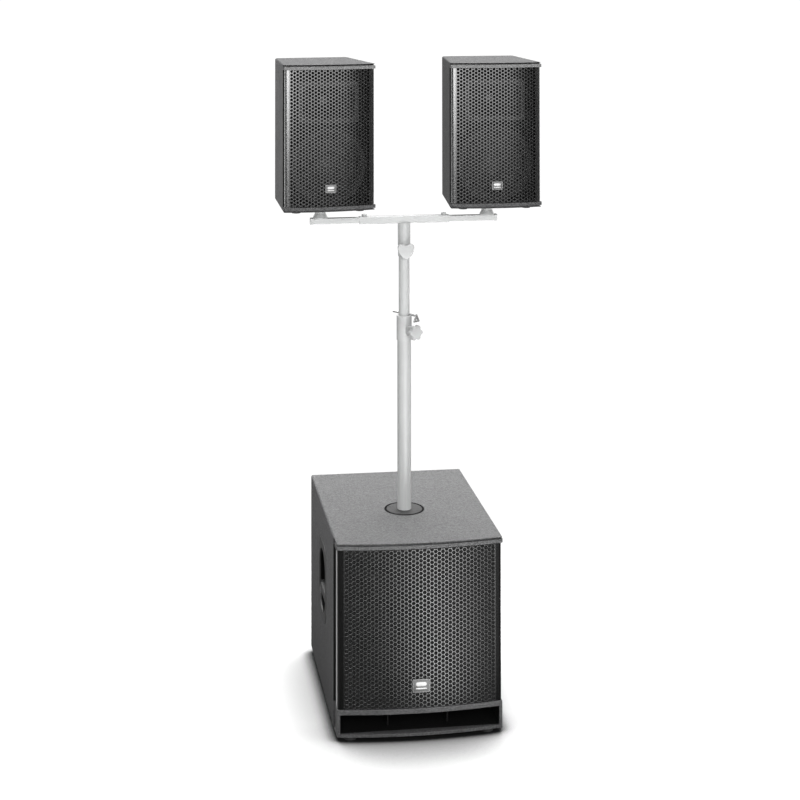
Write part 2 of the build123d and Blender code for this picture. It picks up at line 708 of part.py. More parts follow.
def knob_at(u, v):
    """Fluted control knob with a pointer groove, its shaft through the plate."""
    with BuildPart() as knob:
        with BuildSketch(PLATE_OUT.offset(1.2)):
            with Locations((u, v)):
                Circle(10.5)
        extrude(amount=12, taper=4)
        fillet(knob.faces().sort_by(Axis.Y)[-1].edges(), 1.0)
        # flutes round the side
        with BuildSketch(PLATE_OUT.offset(3.2)):
            with Locations((u, v)):
                with PolarLocations(10.9, 18, start_angle=10, rotate=False):
                    Circle(1.1)
        extrude(amount=12, mode=Mode.SUBTRACT)
        # pointer groove
        with BuildSketch(PLATE_OUT.offset(13.3)):
            with Locations((u, v + 5)):
                Rectangle(1.4, 7)
        extrude(amount=-0.8, mode=Mode.SUBTRACT)
        # shaft
        with BuildSketch(PLATE_OUT.offset(1.4)):
            with Locations((u, v)):
                Circle(3.0)
        extrude(amount=-22)
    return knob.part


for knob_name, (knob_u, knob_v) in KNOBS.items():
    save(knob_at(knob_u, knob_v), knob_name)

# ------------------------------------------------------------------ stand
LOWER_R = 19.0           # lower pole tube radius
UPPER_R = 15.0           # upper pole tube radius
TUBE_T = 2.0             # wall of both tubes
LOWER_BOT = FLANGE_TOP + FIT
LOWER_TOP = SUB_BOT + 1030.0
UPPER_BOT = SUB_BOT + 600.0
UPPER_TOP = SUB_BOT + 1284.0
SLIDE_R = UPPER_R + 0.2  # bore that slides on the upper tube

CLAMP_Z = SUB_BOT + 995.0
CLAMP_ANG = -62.0        # clamp knob direction in plan, from +X
PIN_Z = SUB_BOT + 1039.0
PIN_ANG = -52.0          # safety pin direction in plan

with BuildPart() as lower_pole:
    with BuildSketch(at_pole(LOWER_BOT)):
        Circle(LOWER_R)
    extrude(amount=LOWER_TOP - LOWER_BOT)
    with BuildSketch(at_pole(SUB_TOP + 30)):
        Circle(LOWER_R - TUBE_T)
    extrude(amount=LOWER_TOP - SUB_TOP, mode=Mode.SUBTRACT)
    # plug in the flange bore
    with BuildSketch(at_pole(LOWER_BOT)):
        Circle(9.9)
    extrude(amount=-45)
    with BuildSketch(spoke(CLAMP_ANG, 0, CLAMP_Z)):
        Circle(5)
    extrude(amount=40, mode=Mode.SUBTRACT)
save(lower_pole.part, "lower_pole")

COLLAR_CUT = SUB_BOT + 960.0  # where the collar's bores start, below its underside
with BuildPart() as clamp_collar:
    with BuildSketch(at_pole(SUB_BOT + 967)):
        Circle(21)
    extrude(amount=68)
    fillet(clamp_collar.edges().group_by(Axis.Z)[-1], 2)
    # boss for the knob's stud
    with BuildSketch(spoke(CLAMP_ANG, 10, CLAMP_Z)):
        RectangleRounded(20, 26, 6)
    extrude(amount=26)
    with BuildSketch(at_pole(COLLAR_CUT)):
        Circle(LOWER_R + FIT)
    extrude(amount=LOWER_TOP + 0.5 - COLLAR_CUT, mode=Mode.SUBTRACT)
    with BuildSketch(at_pole(COLLAR_CUT)):
        Circle(SLIDE_R)
    extrude(amount=100, mode=Mode.SUBTRACT)
    with BuildSketch(spoke(CLAMP_ANG, 0, CLAMP_Z)):
        Circle(4.2)
    extrude(amount=60, mode=Mode.SUBTRACT)
save(clamp_collar.part, "clamp_collar")

# lobed clamp knob with its stud
with BuildPart() as clamp_knob:
    with BuildSketch(spoke(CLAMP_ANG, 44, CLAMP_Z)):
        Circle(17)
        with PolarLocations(15.5, 6):
            Circle(6)
    extrude(amount=14)
    knob_face = Plane(origin=(0, 0, 0), z_dir=spoke(CLAMP_ANG, 0, 0).z_dir)
    fillet(clamp_knob.edges().filter_by(knob_face), 2.0)
    with BuildSketch(spoke(CLAMP_ANG, 36.6, CLAMP_Z)):
        Circle(9)
    extrude(amount=8)
    with BuildSketch(spoke(CLAMP_ANG, 15.4, CLAMP_Z)):
        Circle(4.0)
    extrude(amount=24)
save(clamp_knob.part, "clamp_knob")

PIN_HOLES = 6
PIN_PITCH = 70.0
with BuildPart() as upper_pole:
    with BuildSketch(at_pole(UPPER_BOT)):
        Circle(UPPER_R)
        Circle(UPPER_R - TUBE_T, mode=Mode.SUBTRACT)
    extrude(amount=UPPER_TOP - UPPER_BOT)
    # disc closing the tube near its top
    with BuildSketch(at_pole(UPPER_TOP - 8)):
        Circle(UPPER_R - 1)
    extrude(amount=6)
    for k in range(PIN_HOLES):
        with BuildSketch(spoke(PIN_ANG, -40, PIN_Z - PIN_PITCH * k)):
            Circle(3.3)
        extrude(amount=80, mode=Mode.SUBTRACT)
save(upper_pole.part, "upper_pole")

# safety pin: a rod through the upper tube with a triangular pull tab
with BuildPart() as safety_pin:
    with BuildSketch(spoke(PIN_ANG, -42, PIN_Z)):
        Circle(3.0)
    extrude(amount=86)
    chamfer(safety_pin.edges().group_by(Axis.Y)[-1], 1.2)
    with BuildSketch(spoke(PIN_ANG, 44, PIN_Z)):
        with BuildLine():
            Polyline((0, 6), (12, -17), (-12, -17), close=True)
        make_face()
        with BuildLine():
            Polyline((0, -5.5), (5, -13.4), (-5, -13.4), close=True)
        make_face(mode=Mode.SUBTRACT)
    extrude(amount=4)
    fillet(safety_pin.edges().group_by(Axis.Z)[0], 1.0)
save(safety_pin.part, "safety_pin")

TBAR_Z = SUB_BOT + 1300.0     # T-bar tube centre
TBAR_S = 20.0            # T-bar tube, square
TBAR_HALF = 126.0        # T-bar half length
TBAR_BOT = TBAR_Z - TBAR_S / 2
TBAR_TOP = TBAR_Z + TBAR_S / 2
THUMB_X = 112.0          # thumb screws left and right of the pole
SLEEVE_R = 17.5          # T-bar sleeve radius
SLEEVE_STEP = SUB_BOT + 1229.0   # below this the sleeve is slightly thinner
SLEEVE_BORE = SUB_BOT + 1190.0   # start of the bore cut, below the sleeve
LOCK_Z = SUB_BOT + 1217.0        # wing knob axis
with BuildPart() as t_bar:
    with BuildSketch(facing_side(1, -TBAR_HALF, POLE_Y, TBAR_Z)):
        RectangleRounded(TBAR_S, TBAR_S, 2.5)
    extrude(amount=2 * TBAR_HALF)
    with BuildSketch(at_pole(SLEEVE_STEP)):
        Circle(SLEEVE_R)
    extrude(amount=TBAR_BOT - SLEEVE_STEP + 1)
    with BuildSketch(at_pole(SUB_BOT + 1198)):
        Circle(SLEEVE_R - 0.6)
    extrude(amount=32)
    # boss for the wing knob's stud
    with BuildSketch(facing_front(POLE_Y - 10, LOCK_Z)):
        RectangleRounded(18, 24, 5)
    extrude(amount=13)
    with BuildSketch(at_pole(SLEEVE_BORE)):
        Circle(SLIDE_R)
    extrude(amount=TBAR_BOT - SLEEVE_BORE - 1, mode=Mode.SUBTRACT)
    with BuildSketch(facing_side(1, -TBAR_HALF - 5, POLE_Y, TBAR_Z)):
        RectangleRounded(TBAR_S - 4, TBAR_S - 4, 1.2)
    extrude(amount=2 * TBAR_HALF + 10, mode=Mode.SUBTRACT)
    with BuildSketch(at_pole(TBAR_Z)):
        with Locations((-THUMB_X, 0), (THUMB_X, 0)):
            Circle(3.1)
    extrude(amount=30, mode=Mode.SUBTRACT)
    with BuildSketch(facing_front(POLE_Y, LOCK_Z)):
        Circle(4.2)
    extrude(amount=40, mode=Mode.SUBTRACT)
save(t_bar.part, "t_bar")

# heart-shaped wing knob that locks the T-bar on the pole
WING_Y = POLE_Y - 23.6   # back of the knob's hub
with BuildPart() as t_bar_knob:
    with BuildSketch(facing_front(WING_Y - 3, LOCK_Z)):
        with BuildLine():
            left_flank = ThreePointArc((0, -24), (-17, -10), (-23, 9))
            left_lobe = ThreePointArc(left_flank @ 1, (-18, 18.5), (-8, 18))
            notch = ThreePointArc(left_lobe @ 1, (0, 15.5), (8, 18))
            right_lobe = ThreePointArc(notch @ 1, (18, 18.5), (23, 9))
            ThreePointArc(right_lobe @ 1, (17, -10), (0, -24))
        make_face()
    extrude(amount=9)
    fillet(t_bar_knob.edges().filter_by(Plane.XZ), 2.5)
    with BuildSketch(facing_front(WING_Y, LOCK_Z)):
        Circle(9)
    extrude(amount=4)
    with BuildSketch(facing_front(POLE_Y - 15.4, LOCK_Z)):
        Circle(4.0)
    extrude(amount=14)
save(t_bar_knob.part, "t_bar_knob")

SAT_Z = SUB_BOT + 1346.0      # underside of the satellites
SPIGOT_X = 235.0         # spigot axes left and right of the pole
SPIGOT_R = 15.0
SPIGOT_TOP = SAT_Z + 75
ARM_S = 15.6             # sliding arm, square
ARM_END = 263.0          # outer end of each arm
ARM_IN = 45.0            # inner end of each arm
ARM_TOP = TBAR_Z + ARM_S / 2


def arm(side):
    """Sliding arm with its flared spigot, for side -1 or 1."""
    with BuildPart() as piece:
        with BuildSketch(facing_side(side, side * ARM_IN, POLE_Y, TBAR_Z)):
            RectangleRounded(ARM_S, ARM_S, 1.2)
            RectangleRounded(ARM_S - 4, ARM_S - 4, 0.8, mode=Mode.SUBTRACT)
        extrude(amount=ARM_END - ARM_IN - 6)
        # end cap
        with BuildSketch(facing_side(side, side * (ARM_END - 8), POLE_Y, TBAR_Z)):
            RectangleRounded(ARM_S + 1.6, ARM_S + 1.6, 2)
        extrude(amount=8)
        with BuildSketch(facing_front(POLE_Y, 0, side * SPIGOT_X)):
            with BuildLine():
                base = ARM_TOP - 0.5
                Polyline(
                    (0, base), (20.5, base), (20.5, base + 3), (SPIGOT_R, base + 14),
                    (SPIGOT_R, SPIGOT_TOP - 3), (SPIGOT_R - 3, SPIGOT_TOP),
                    (0, SPIGOT_TOP), close=True)
            make_face()
        revolve(axis=Axis((side * SPIGOT_X, POLE_Y, 0), (0, 0, 1)))
    return piece.part


def thumb_screw(side):
    """Knurled thumb screw on top of the cross tube."""
    head = Plane((side * THUMB_X, POLE_Y, TBAR_TOP + 0.6))
    with BuildPart() as piece:
        with BuildSketch(head):
            Circle(7.2)
        extrude(amount=5.5)
        chamfer(piece.edges().group_by(Axis.Z)[-1], 0.8)
        with BuildSketch(head):
            with PolarLocations(7.4, 16):
                Circle(0.7)
        extrude(amount=6, mode=Mode.SUBTRACT)
        with BuildSketch(Plane((side * THUMB_X, POLE_Y, ARM_TOP + 0.1))):
            Circle(3.0)
        extrude(amount=TBAR_TOP - ARM_TOP + 2)
    return piece.part


for side_name, side in (("left", -1), ("right", 1)):
    save(arm(side), f"{side_name}_arm")
    save(thumb_screw(side), f"{side_name}_arm_screw")

# ------------------------------------------------------------- satellites
# Made once about their own spigot axis, underside at z = 0, then placed twice.
SAT_W = 256.0            # front width
SAT_WB = 209.0           # back width
SAT_H = 396.0
SAT_D = 250.0
SAT_BOW = 13.0           # forward bulge of the front
SAT_T = 12.0             # wall and baffle thickness
SAT_RAIL = 13.7          # rails above and below the grille, with lip and gap
SAT_LIP = 1.2
SAT_GAP = 4.0
SAT_GROOVE_D = 6.0       # depth of the shadow gaps
SAT_INSET = 4.5          # grille inside the cabinet sides
SAT_RETURN = 14.0        # depth of the grille's folded sides
SAT_OPEN_H = SAT_H - 2 * SAT_RAIL
LEFT_YAW = 5.5           # toe-in of the left satellite

SAT_FRONT = -SAT_D / 2   # front corners
SAT_BACK = SAT_D / 2
SAT_HALF = SAT_W / 2
SAT_HALF_BACK = SAT_WB / 2
SAT_ARC = bow_arc(SAT_W, SAT_BOW, SAT_FRONT)
SAT_AHEAD = SAT_FRONT - AHEAD
SAT_GROOVE_END = SAT_FRONT + SAT_RETURN + 4

DRIVER_Y = SAT_FRONT + 20.0   # front face of the satellite's baffle
SAT_WOOFER_Z = 118.0     # woofer axis
HORN_Z = 292.0           # horn axis
HORN_W = 168.0
HORN_H = 112.0
TERMINAL_Z = 110.0       # terminal plate centre


def sat_bolt_spots():
    return PolarLocations(97, 8, start_angle=22.5)


def chamber_half(y):
    """Half width inside the walls of the tapered satellite at depth y."""
    taper = (SAT_HALF_BACK - SAT_HALF) * (y - SAT_FRONT) / SAT_D
    return SAT_HALF + taper - SAT_T


with BuildPart() as sat_cabinet:
    with BuildSketch(Plane.XY) as sat_plan:
        with BuildLine():
            bowed_outline(SAT_ARC, SAT_HALF, 0, SAT_BACK, SAT_HALF_BACK)
        make_face()
        fillet(sat_plan.vertices().group_by(Axis.Y)[-1], 12)
        fillet(sat_plan.vertices().group_by(Axis.Y)[0], 6)
    extrude(amount=SAT_H)
    rims = sat_cabinet.edges().group_by(Axis.Z)[-1] + sat_cabinet.edges().group_by(Axis.Z)[0]
    fillet(rims, 4.5)
    # shadow gaps under the top lip and over the bottom lip, round the front
    for z in (SAT_LIP, SAT_H - SAT_LIP - SAT_GAP):
        with BuildSketch(Plane.XY.offset(z)):
            block(0, SAT_W + 20, SAT_AHEAD, SAT_GROOVE_END)
            with BuildLine():
                bowed_outline(
                    SAT_ARC, SAT_HALF - SAT_GROOVE_D, SAT_GROOVE_D, SAT_FRONT + 60)
            make_face(mode=Mode.SUBTRACT)
        extrude(amount=SAT_GAP, mode=Mode.SUBTRACT)
    # the same gap down both sides, behind the front rails
    with BuildSketch(Plane.XY.offset(SAT_LIP)):
        for side in (-1, 1):
            block(side * SAT_HALF, 2 * SAT_GROOVE_D, SAT_GROOVE_END - 6, SAT_GROOVE_END)
    extrude(amount=SAT_H - 2 * SAT_LIP, mode=Mode.SUBTRACT)
    # tapered chamber behind the baffle
    with BuildSketch(Plane.XY.offset(SAT_T)):
        with BuildLine():
            chamber_front = DRIVER_Y + SAT_T
            chamber_back = SAT_BACK - SAT_T
            front_half = chamber_half(chamber_front)
            back_half = chamber_half(chamber_back)
            Polyline(
                (-front_half, chamber_front), (front_half, chamber_front),
                (back_half, chamber_back), (-back_half, chamber_back), close=True)
        make_face()
    extrude(amount=SAT_H - 2 * SAT_T, mode=Mode.SUBTRACT)
    # recess in front of the baffle, and the cut-back beside the grille
    with BuildSketch(Plane.XY.offset(SAT_RAIL)):
        block(0, SAT_W - 20, SAT_AHEAD, DRIVER_Y)
        block(0, SAT_W + 10, SAT_AHEAD, SAT_FRONT + 7)
        for side in (-1, 1):
            block(side * SAT_HALF, 2 * SAT_INSET + 4, SAT_AHEAD, SAT_GROOVE_END)
    extrude(amount=SAT_OPEN_H, mode=Mode.SUBTRACT)
    # driver openings
    with BuildSketch(looking_in(SAT_FRONT - 20, SAT_WOOFER_Z)):
        Circle(91)
        with sat_bolt_spots():
            Circle(PILOT_R)
    extrude(amount=60, mode=Mode.SUBTRACT)
    with BuildSketch(looking_in(SAT_FRONT - 20, HORN_Z)):
        RectangleRounded(HORN_W - 14, HORN_H - 14, 8)
    extrude(amount=60, mode=Mode.SUBTRACT)
    # terminal opening in the back, with its rebate
    with BuildSketch(facing_back(SAT_BACK - 30, TERMINAL_Z)):
        RectangleRounded(86, 66, 5)
    extrude(amount=60, mode=Mode.SUBTRACT)
    with BuildSketch(facing_back(SAT_BACK + 1, TERMINAL_Z)):
        RectangleRounded(110.4, 90.4, 8)
    extrude(amount=-3.1, mode=Mode.SUBTRACT)
    # pole socket opening in the underside, with its rebate
    with BuildSketch(Plane.XY.offset(-1)):
        Circle(20.5)
    extrude(amount=30, mode=Mode.SUBTRACT)
    with BuildSketch(Plane.XY.offset(-1)):
        Circle(35.3)
    extrude(amount=4, mode=Mode.SUBTRACT)

SAT_GRILLE_SET = 3.0     # grille face behind the rails
SAT_SHEET_T = 1.4
SAT_GRILLE_HALF = SAT_HALF - SAT_INSET
with BuildPart() as sat_grille:
    with BuildSketch(Plane.XY.offset(SAT_RAIL + 0.5)) as sat_grille_plan:
        with BuildLine():
            bowed_outline(
                SAT_ARC, SAT_GRILLE_HALF, SAT_GRILLE_SET, SAT_FRONT + SAT_RETURN)
        make_face()
        fillet(sat_grille_plan.vertices().group_by(Axis.Y)[0], 6)
    extrude(amount=SAT_OPEN_H - 1)
    with BuildSketch(Plane.XY.offset(SAT_RAIL)) as sat_grille_core:
        with BuildLine():
            bowed_outline(
                SAT_ARC, SAT_GRILLE_HALF - SAT_SHEET_T, SAT_GRILLE_SET + SAT_SHEET_T,
                SAT_FRONT + 40)
        make_face()
        fillet(sat_grille_core.vertices().group_by(Axis.Y)[0], 6 - SAT_SHEET_T)
    extrude(amount=SAT_OPEN_H, mode=Mode.SUBTRACT)

with BuildPart() as sat_badge:
    with BuildSketch(facing_front(SAT_FRONT - SAT_BOW + SAT_GRILLE_SET - FIT, 62)):
        RectangleRounded(30, 22, 2)
    extrude(amount=2.2)
    fillet(sat_badge.faces().sort_by(Axis.Y)[0].edges(), 0.6)

SAT_SECTION = facing_side(1, 0, 0, SAT_WOOFER_Z)
SAT_AXIS = Axis((0, 0, SAT_WOOFER_Z), (0, 1, 0))
# (depth from the baffle front, radius): basket, then magnet and coil gap
SAT_FRAME = [
    (-4.05, 87), (-4.05, 103), (-0.05, 103), (-0.05, 90.4), (12, 90.0),
    (52, 56), (56, 56), (56, 60), (80, 60), (80, 8), (56, 8), (56, 23.5),
    (74, 23.5), (74, 27.5), (52, 27.5), (52, 50), (11, 86)]
SAT_ROLL_R = 84.0        # radius of the surround's half roll about the axis
# frame and motor of the 8 inch woofer, with a half-roll surround on the frame
with BuildPart() as sat_woofer_frame:
    with BuildSketch(SAT_SECTION):
        with BuildLine():
            Polyline(*profile(DRIVER_Y, SAT_FRAME), close=True)
        make_face()
    revolve(axis=SAT_AXIS)
    with BuildSketch(SAT_SECTION):
        with BuildLine():
            front_roll = ThreePointArc(
                *profile(DRIVER_Y, [(-4.5, 89.5), (-9.5, SAT_ROLL_R), (-4.5, 78.5)]))
            inner_edge = Line(front_roll @ 1, (DRIVER_Y - 3.3, 78.5))
            rear_roll = ThreePointArc(
                inner_edge @ 1, (DRIVER_Y - 8.2, SAT_ROLL_R), (DRIVER_Y - 3.3, 89.5))
            Line(rear_roll @ 1, front_roll @ 0)
        make_face()
    revolve(axis=SAT_AXIS)
    # bolt heads
    with BuildSketch(facing_front(DRIVER_Y - 4.05, SAT_WOOFER_Z)):
        with sat_bolt_spots():
            Circle(3.4)
    extrude(amount=2.0)

# depth from the cone's front edge: dust cap, voice coil former, cone
SAT_CONE_Y = DRIVER_Y - 3.0
SAT_CONE = [
    (0, 76), *dome(30.61, 34.6, 19.5, outward=False), *dome(31.64, 33.2, 20.8, outward=True),
    (38, 24.6), (66, 24.6), (66, 26.4), (40, 26.4), (1.4, 77.9), (0, 76)]
with BuildPart() as sat_woofer_cone:
    with BuildSketch(SAT_SECTION):
        with BuildLine():
            Polyline(*profile(SAT_CONE_Y, SAT_CONE))
        make_face()
    revolve(axis=SAT_AXIS)

THROAT_R = 12.7          # horn throat and driver exit
with BuildPart() as sat_horn:
    with BuildSketch(looking_in(DRIVER_Y - 4.05, HORN_Z)):
        RectangleRounded(HORN_W, HORN_H, 10)
    extrude(amount=4)
    # outside of the flare
    with BuildSketch(looking_in(DRIVER_Y - 0.05, HORN_Z)):
        RectangleRounded(HORN_W - 15, HORN_H - 15, 8)
    with BuildSketch(looking_in(DRIVER_Y + 60, HORN_Z)):
        Circle(17)
    loft()
    # round flange for the driver
    with BuildSketch(looking_in(DRIVER_Y + 60, HORN_Z)):
        Circle(30)
    extrude(amount=5)
    # inside of the flare
    with BuildSketch(looking_in(DRIVER_Y - 4.06, HORN_Z)):
        RectangleRounded(HORN_W - 24, HORN_H - 24, 14)
    with BuildSketch(looking_in(DRIVER_Y + 65.01, HORN_Z)):
        Circle(THROAT_R)
    loft(mode=Mode.SUBTRACT)

# stacked discs: depth from the baffle front, radius, thickness
HIGH_DISCS = ((65.1, 42, 16), (81.1, 46, 24), (105.1, 40, 10))
with BuildPart() as sat_high_driver:
    for disc_depth, disc_radius, disc_t in HIGH_DISCS:
        with BuildSketch(looking_in(DRIVER_Y + disc_depth, HORN_Z)):
            Circle(disc_radius)
        extrude(amount=disc_t)
    with BuildSketch(looking_in(DRIVER_Y + HIGH_DISCS[0][0], HORN_Z)):
        Circle(THROAT_R)
    extrude(amount=12, mode=Mode.SUBTRACT)

SOCKET_FLANGE_T = 2.9
with BuildPart() as sat_pole_socket:
    with BuildSketch(Plane.XY):
        Circle(35)
    extrude(amount=SOCKET_FLANGE_T)
    with BuildSketch(Plane.XY.offset(SOCKET_FLANGE_T)):
        Circle(20)
    extrude(amount=76)
    with BuildSketch(Plane.XY.offset(-1)):
        Circle(SPIGOT_R + 0.08)
    extrude(amount=76.1, mode=Mode.SUBTRACT)

TERMINAL_IN = facing_back(SAT_BACK - 2.05, TERMINAL_Z)    # back of the plate's flange
TERMINAL_OUT = facing_back(SAT_BACK + 0.45, TERMINAL_Z)   # its outer face
SOCKET_SPOTS = ((-19, 0), (19, 0))
with BuildPart() as sat_terminal_plate:
    with BuildSketch(TERMINAL_IN):
        RectangleRounded(110, 90, 7.8)
    extrude(amount=2.5)
    fillet(sat_terminal_plate.faces().sort_by(Axis.Y)[-1].edges(), 0.8)
    # hollow box behind the flange
    with BuildSketch(TERMINAL_IN):
        RectangleRounded(84, 64, 5)
    extrude(amount=-22)
    with BuildSketch(TERMINAL_OUT):
        RectangleRounded(78, 56, 5)
    extrude(amount=-14, mode=Mode.SUBTRACT)
    # two round sockets on its floor, each with a ring groove
    with BuildSketch(TERMINAL_OUT.offset(-14)):
        with Locations(*SOCKET_SPOTS):
            Circle(13)
    extrude(amount=9)
    with BuildSketch(TERMINAL_OUT.offset(-5)):
        with Locations(*SOCKET_SPOTS):
            Circle(11)
            Circle(6.4, mode=Mode.SUBTRACT)
    extrude(amount=-14, mode=Mode.SUBTRACT)
    # screw heads at the corners
    with BuildSketch(TERMINAL_OUT):
        with GridLocations(96, 76, 2, 2):
            Circle(3.2)
    extrude(amount=1.4)

SAT_FOOT_H = 5.0
SAT_FOOT_SPOTS = (
    (-88, SAT_FRONT + 26), (88, SAT_FRONT + 26), (-74, SAT_BACK - 28), (74, SAT_BACK - 28))
with BuildPart() as sat_feet:
    for x, y in SAT_FOOT_SPOTS:
        with BuildSketch(Plane((x, y, -SAT_FOOT_H))):
            Circle(12)
        extrude(amount=SAT_FOOT_H - FIT, taper=-12)
    fillet(sat_feet.edges().group_by(Axis.Z)[0], 1.2)

SEATS = {
    "left": Location((-SPIGOT_X, POLE_Y, SAT_Z), (0, 0, LEFT_YAW)),
    "right": Location((SPIGOT_X, POLE_Y, SAT_Z), (0, 0, 0))}
SAT_PIECES = {
    "cabinet": sat_cabinet, "grille": sat_grille, "badge": sat_badge,
    "woofer_frame": sat_woofer_frame, "woofer_cone": sat_woofer_cone,
    "horn": sat_horn, "high_driver": sat_high_driver,
    "pole_socket": sat_pole_socket, "terminal_plate": sat_terminal_plate,
    "feet": sat_feet}
for side_name, seat in SEATS.items():
    for piece_name, piece in SAT_PIECES.items():
        with BuildPart() as placed:
            with Locations(seat):
                add(piece.part)
        save(placed.part, f"{side_name}_{piece_name}")
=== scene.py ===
import math

import bmesh
import bpy
import numpy as np
from mathutils import Matrix, Vector


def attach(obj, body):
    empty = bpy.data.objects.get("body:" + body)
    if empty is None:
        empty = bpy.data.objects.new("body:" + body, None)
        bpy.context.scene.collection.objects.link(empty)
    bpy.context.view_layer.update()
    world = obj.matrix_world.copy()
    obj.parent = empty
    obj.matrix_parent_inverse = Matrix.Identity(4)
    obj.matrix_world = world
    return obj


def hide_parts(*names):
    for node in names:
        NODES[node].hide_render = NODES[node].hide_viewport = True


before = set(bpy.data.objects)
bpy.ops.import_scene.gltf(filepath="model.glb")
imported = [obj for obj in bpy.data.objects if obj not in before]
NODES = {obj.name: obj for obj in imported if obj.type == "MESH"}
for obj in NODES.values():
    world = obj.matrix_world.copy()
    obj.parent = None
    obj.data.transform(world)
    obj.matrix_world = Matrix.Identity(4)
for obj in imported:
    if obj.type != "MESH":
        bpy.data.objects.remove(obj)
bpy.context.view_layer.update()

scene = bpy.context.scene


# ------------------------------------------------------------------ node helpers
class Shader:
    """Small wrapper to write node trees in few lines."""

    def __init__(self, name):
        self.mat = bpy.data.materials.new(name)
        self.mat.use_nodes = True
        self.t = self.mat.node_tree
        self.t.nodes.clear()
        self.out = self.t.nodes.new("ShaderNodeOutputMaterial")
        self.bsdf = self.t.nodes.new("ShaderNodeBsdfPrincipled")
        self.t.links.new(self.bsdf.outputs[0], self.out.inputs[0])
        self.coord = self.t.nodes.new("ShaderNodeTexCoord")

    def n(self, kind, **props):
        node = self.t.nodes.new(kind)
        for k, v in props.items():
            setattr(node, k, v)
        return node

    def link(self, a, b):
        self.t.links.new(a, b)

    def put(self, socket, value):
        if hasattr(value, "is_linked") or hasattr(value, "links"):
            self.link(value, socket)
        else:
            socket.default_value = value

    def mapping(self, scale=(1, 1, 1), rot=(0, 0, 0)):
        m = self.n("ShaderNodeMapping")
        m.inputs["Scale"].default_value = scale
        m.inputs["Rotation"].default_value = rot
        self.link(self.coord.outputs["Object"], m.inputs["Vector"])
        return m.outputs[0]

    def noise(self, scale, detail=2.0, rough=0.5, vector=None, distortion=0.0):
        n = self.n("ShaderNodeTexNoise")
        n.inputs["Scale"].default_value = scale
        n.inputs["Detail"].default_value = detail
        n.inputs["Roughness"].default_value = rough
        n.inputs["Distortion"].default_value = distortion
        self.link(vector or self.coord.outputs["Object"], n.inputs["Vector"])
        return n.outputs["Fac"]

    def voronoi(self, scale, feature="F1", vector=None, rand=1.0):
        n = self.n("ShaderNodeTexVoronoi", feature=feature)
        n.inputs["Scale"].default_value = scale
        n.inputs["Randomness"].default_value = rand
        self.link(vector or self.coord.outputs["Object"], n.inputs["Vector"])
        return n.outputs["Distance"]

    def ramp(self, fac, stops):
        r = self.n("ShaderNodeValToRGB")
        els = r.color_ramp.elements
        while len(els) < len(stops):
            els.new(0.5)
        for e, (p, c) in zip(els, stops):
            e.position = p
            e.color = (c, c, c, 1) if not isinstance(c, tuple) else (*c, 1)
        self.link(fac, r.inputs[0])
        return r.outputs[0]

    def remap(self, fac, lo, hi, a=0.0, b=1.0):
        m = self.n("ShaderNodeMapRange")
        m.inputs["From Min"].default_value = a
        m.inputs["From Max"].default_value = b
        m.inputs["To Min"].default_value = lo
        m.inputs["To Max"].default_value = hi
        self.link(fac, m.inputs["Value"])
        return m.outputs[0]

    def math(self, op, a, b=0.0):
        m = self.n("ShaderNodeMath", operation=op)
        self.put(m.inputs[0], a)
        self.put(m.inputs[1], b)
        return m.outputs[0]

    def mix(self, fac, a, b):
        m = self.n("ShaderNodeMix", data_type="RGBA")
        self.put(m.inputs[0], fac)
        self.put(m.inputs[6], a)
        self.put(m.inputs[7], b)
        return m.outputs[2]

    def bump(self, height, distance, strength=1.0, normal=None):
        b = self.n("ShaderNodeBump")
        b.inputs["Strength"].default_value = strength
        b.inputs["Distance"].default_value = distance
        self.link(height, b.inputs["Height"])
        if normal is not None:
            self.link(normal, b.inputs["Normal"])
        return b.outputs[0]

    def edge(self, radius):
        """(rounded normal, 0..1 mask of convex and concave edges)."""
        bevel = self.n("ShaderNodeBevel", samples=4)
        bevel.inputs["Radius"].default_value = radius
        geo = self.n("ShaderNodeNewGeometry")
        dot = self.n("ShaderNodeVectorMath", operation="DOT_PRODUCT")
        self.link(bevel.outputs[0], dot.inputs[0])
        self.link(geo.outputs["Normal"], dot.inputs[1])
        mask = self.remap(dot.outputs["Value"], 1.0, 0.0, 0.75, 0.995)
        return bevel.outputs[0], mask

    def set(self, **kw):
        names = {
            "color": "Base Color", "rough": "Roughness", "metal": "Metallic", "normal": "Normal",
            "spec": "Specular IOR Level", "coat": "Coat Weight", "coat_rough": "Coat Roughness",
            "aniso": "Anisotropic", "sheen": "Sheen Weight", "emit": "Emission Color",
            "emit_s": "Emission Strength", "trans": "Transmission Weight", "sheen_rough": "Sheen Roughness",
            "tangent": "Tangent", "ior": "IOR"}
        for k, v in kw.items():
            self.put(self.bsdf.inputs[names[k]], v)
        return self.mat


def grey(v, tint=(0, 0, 0)):
    return (v + tint[0], v + tint[1], v + tint[2], 1)


def inside_mask(s, boxes, seat=None):
    """1 inside any of the boxes ((x, y, z) low, (x, y, z) high), 0 outside. seat is ((x, y, z), yaw) of their frame."""
    sep = s.n("ShaderNodeSeparateXYZ")
    if seat:
        m = s.n("ShaderNodeMapping", vector_type="TEXTURE")
        m.inputs["Location"].default_value = seat[0]
        m.inputs["Rotation"].default_value = (0, 0, seat[1])
        s.link(s.coord.outputs["Object"], m.inputs["Vector"])
        s.link(m.outputs[0], sep.inputs[0])
    else:
        s.link(s.coord.outputs["Object"], sep.inputs[0])
    total = None
    for lo, hi in boxes:
        term = None
        for k in range(3):
            a = s.math("GREATER_THAN", sep.outputs[k], lo[k])
            b = s.math("LESS_THAN", sep.outputs[k], hi[k])
            ab = s.math("MULTIPLY", a, b)
            term = ab if term is None else s.math("MULTIPLY", term, ab)
        total = term if total is None else s.math("MAXIMUM", total, term)
    return total


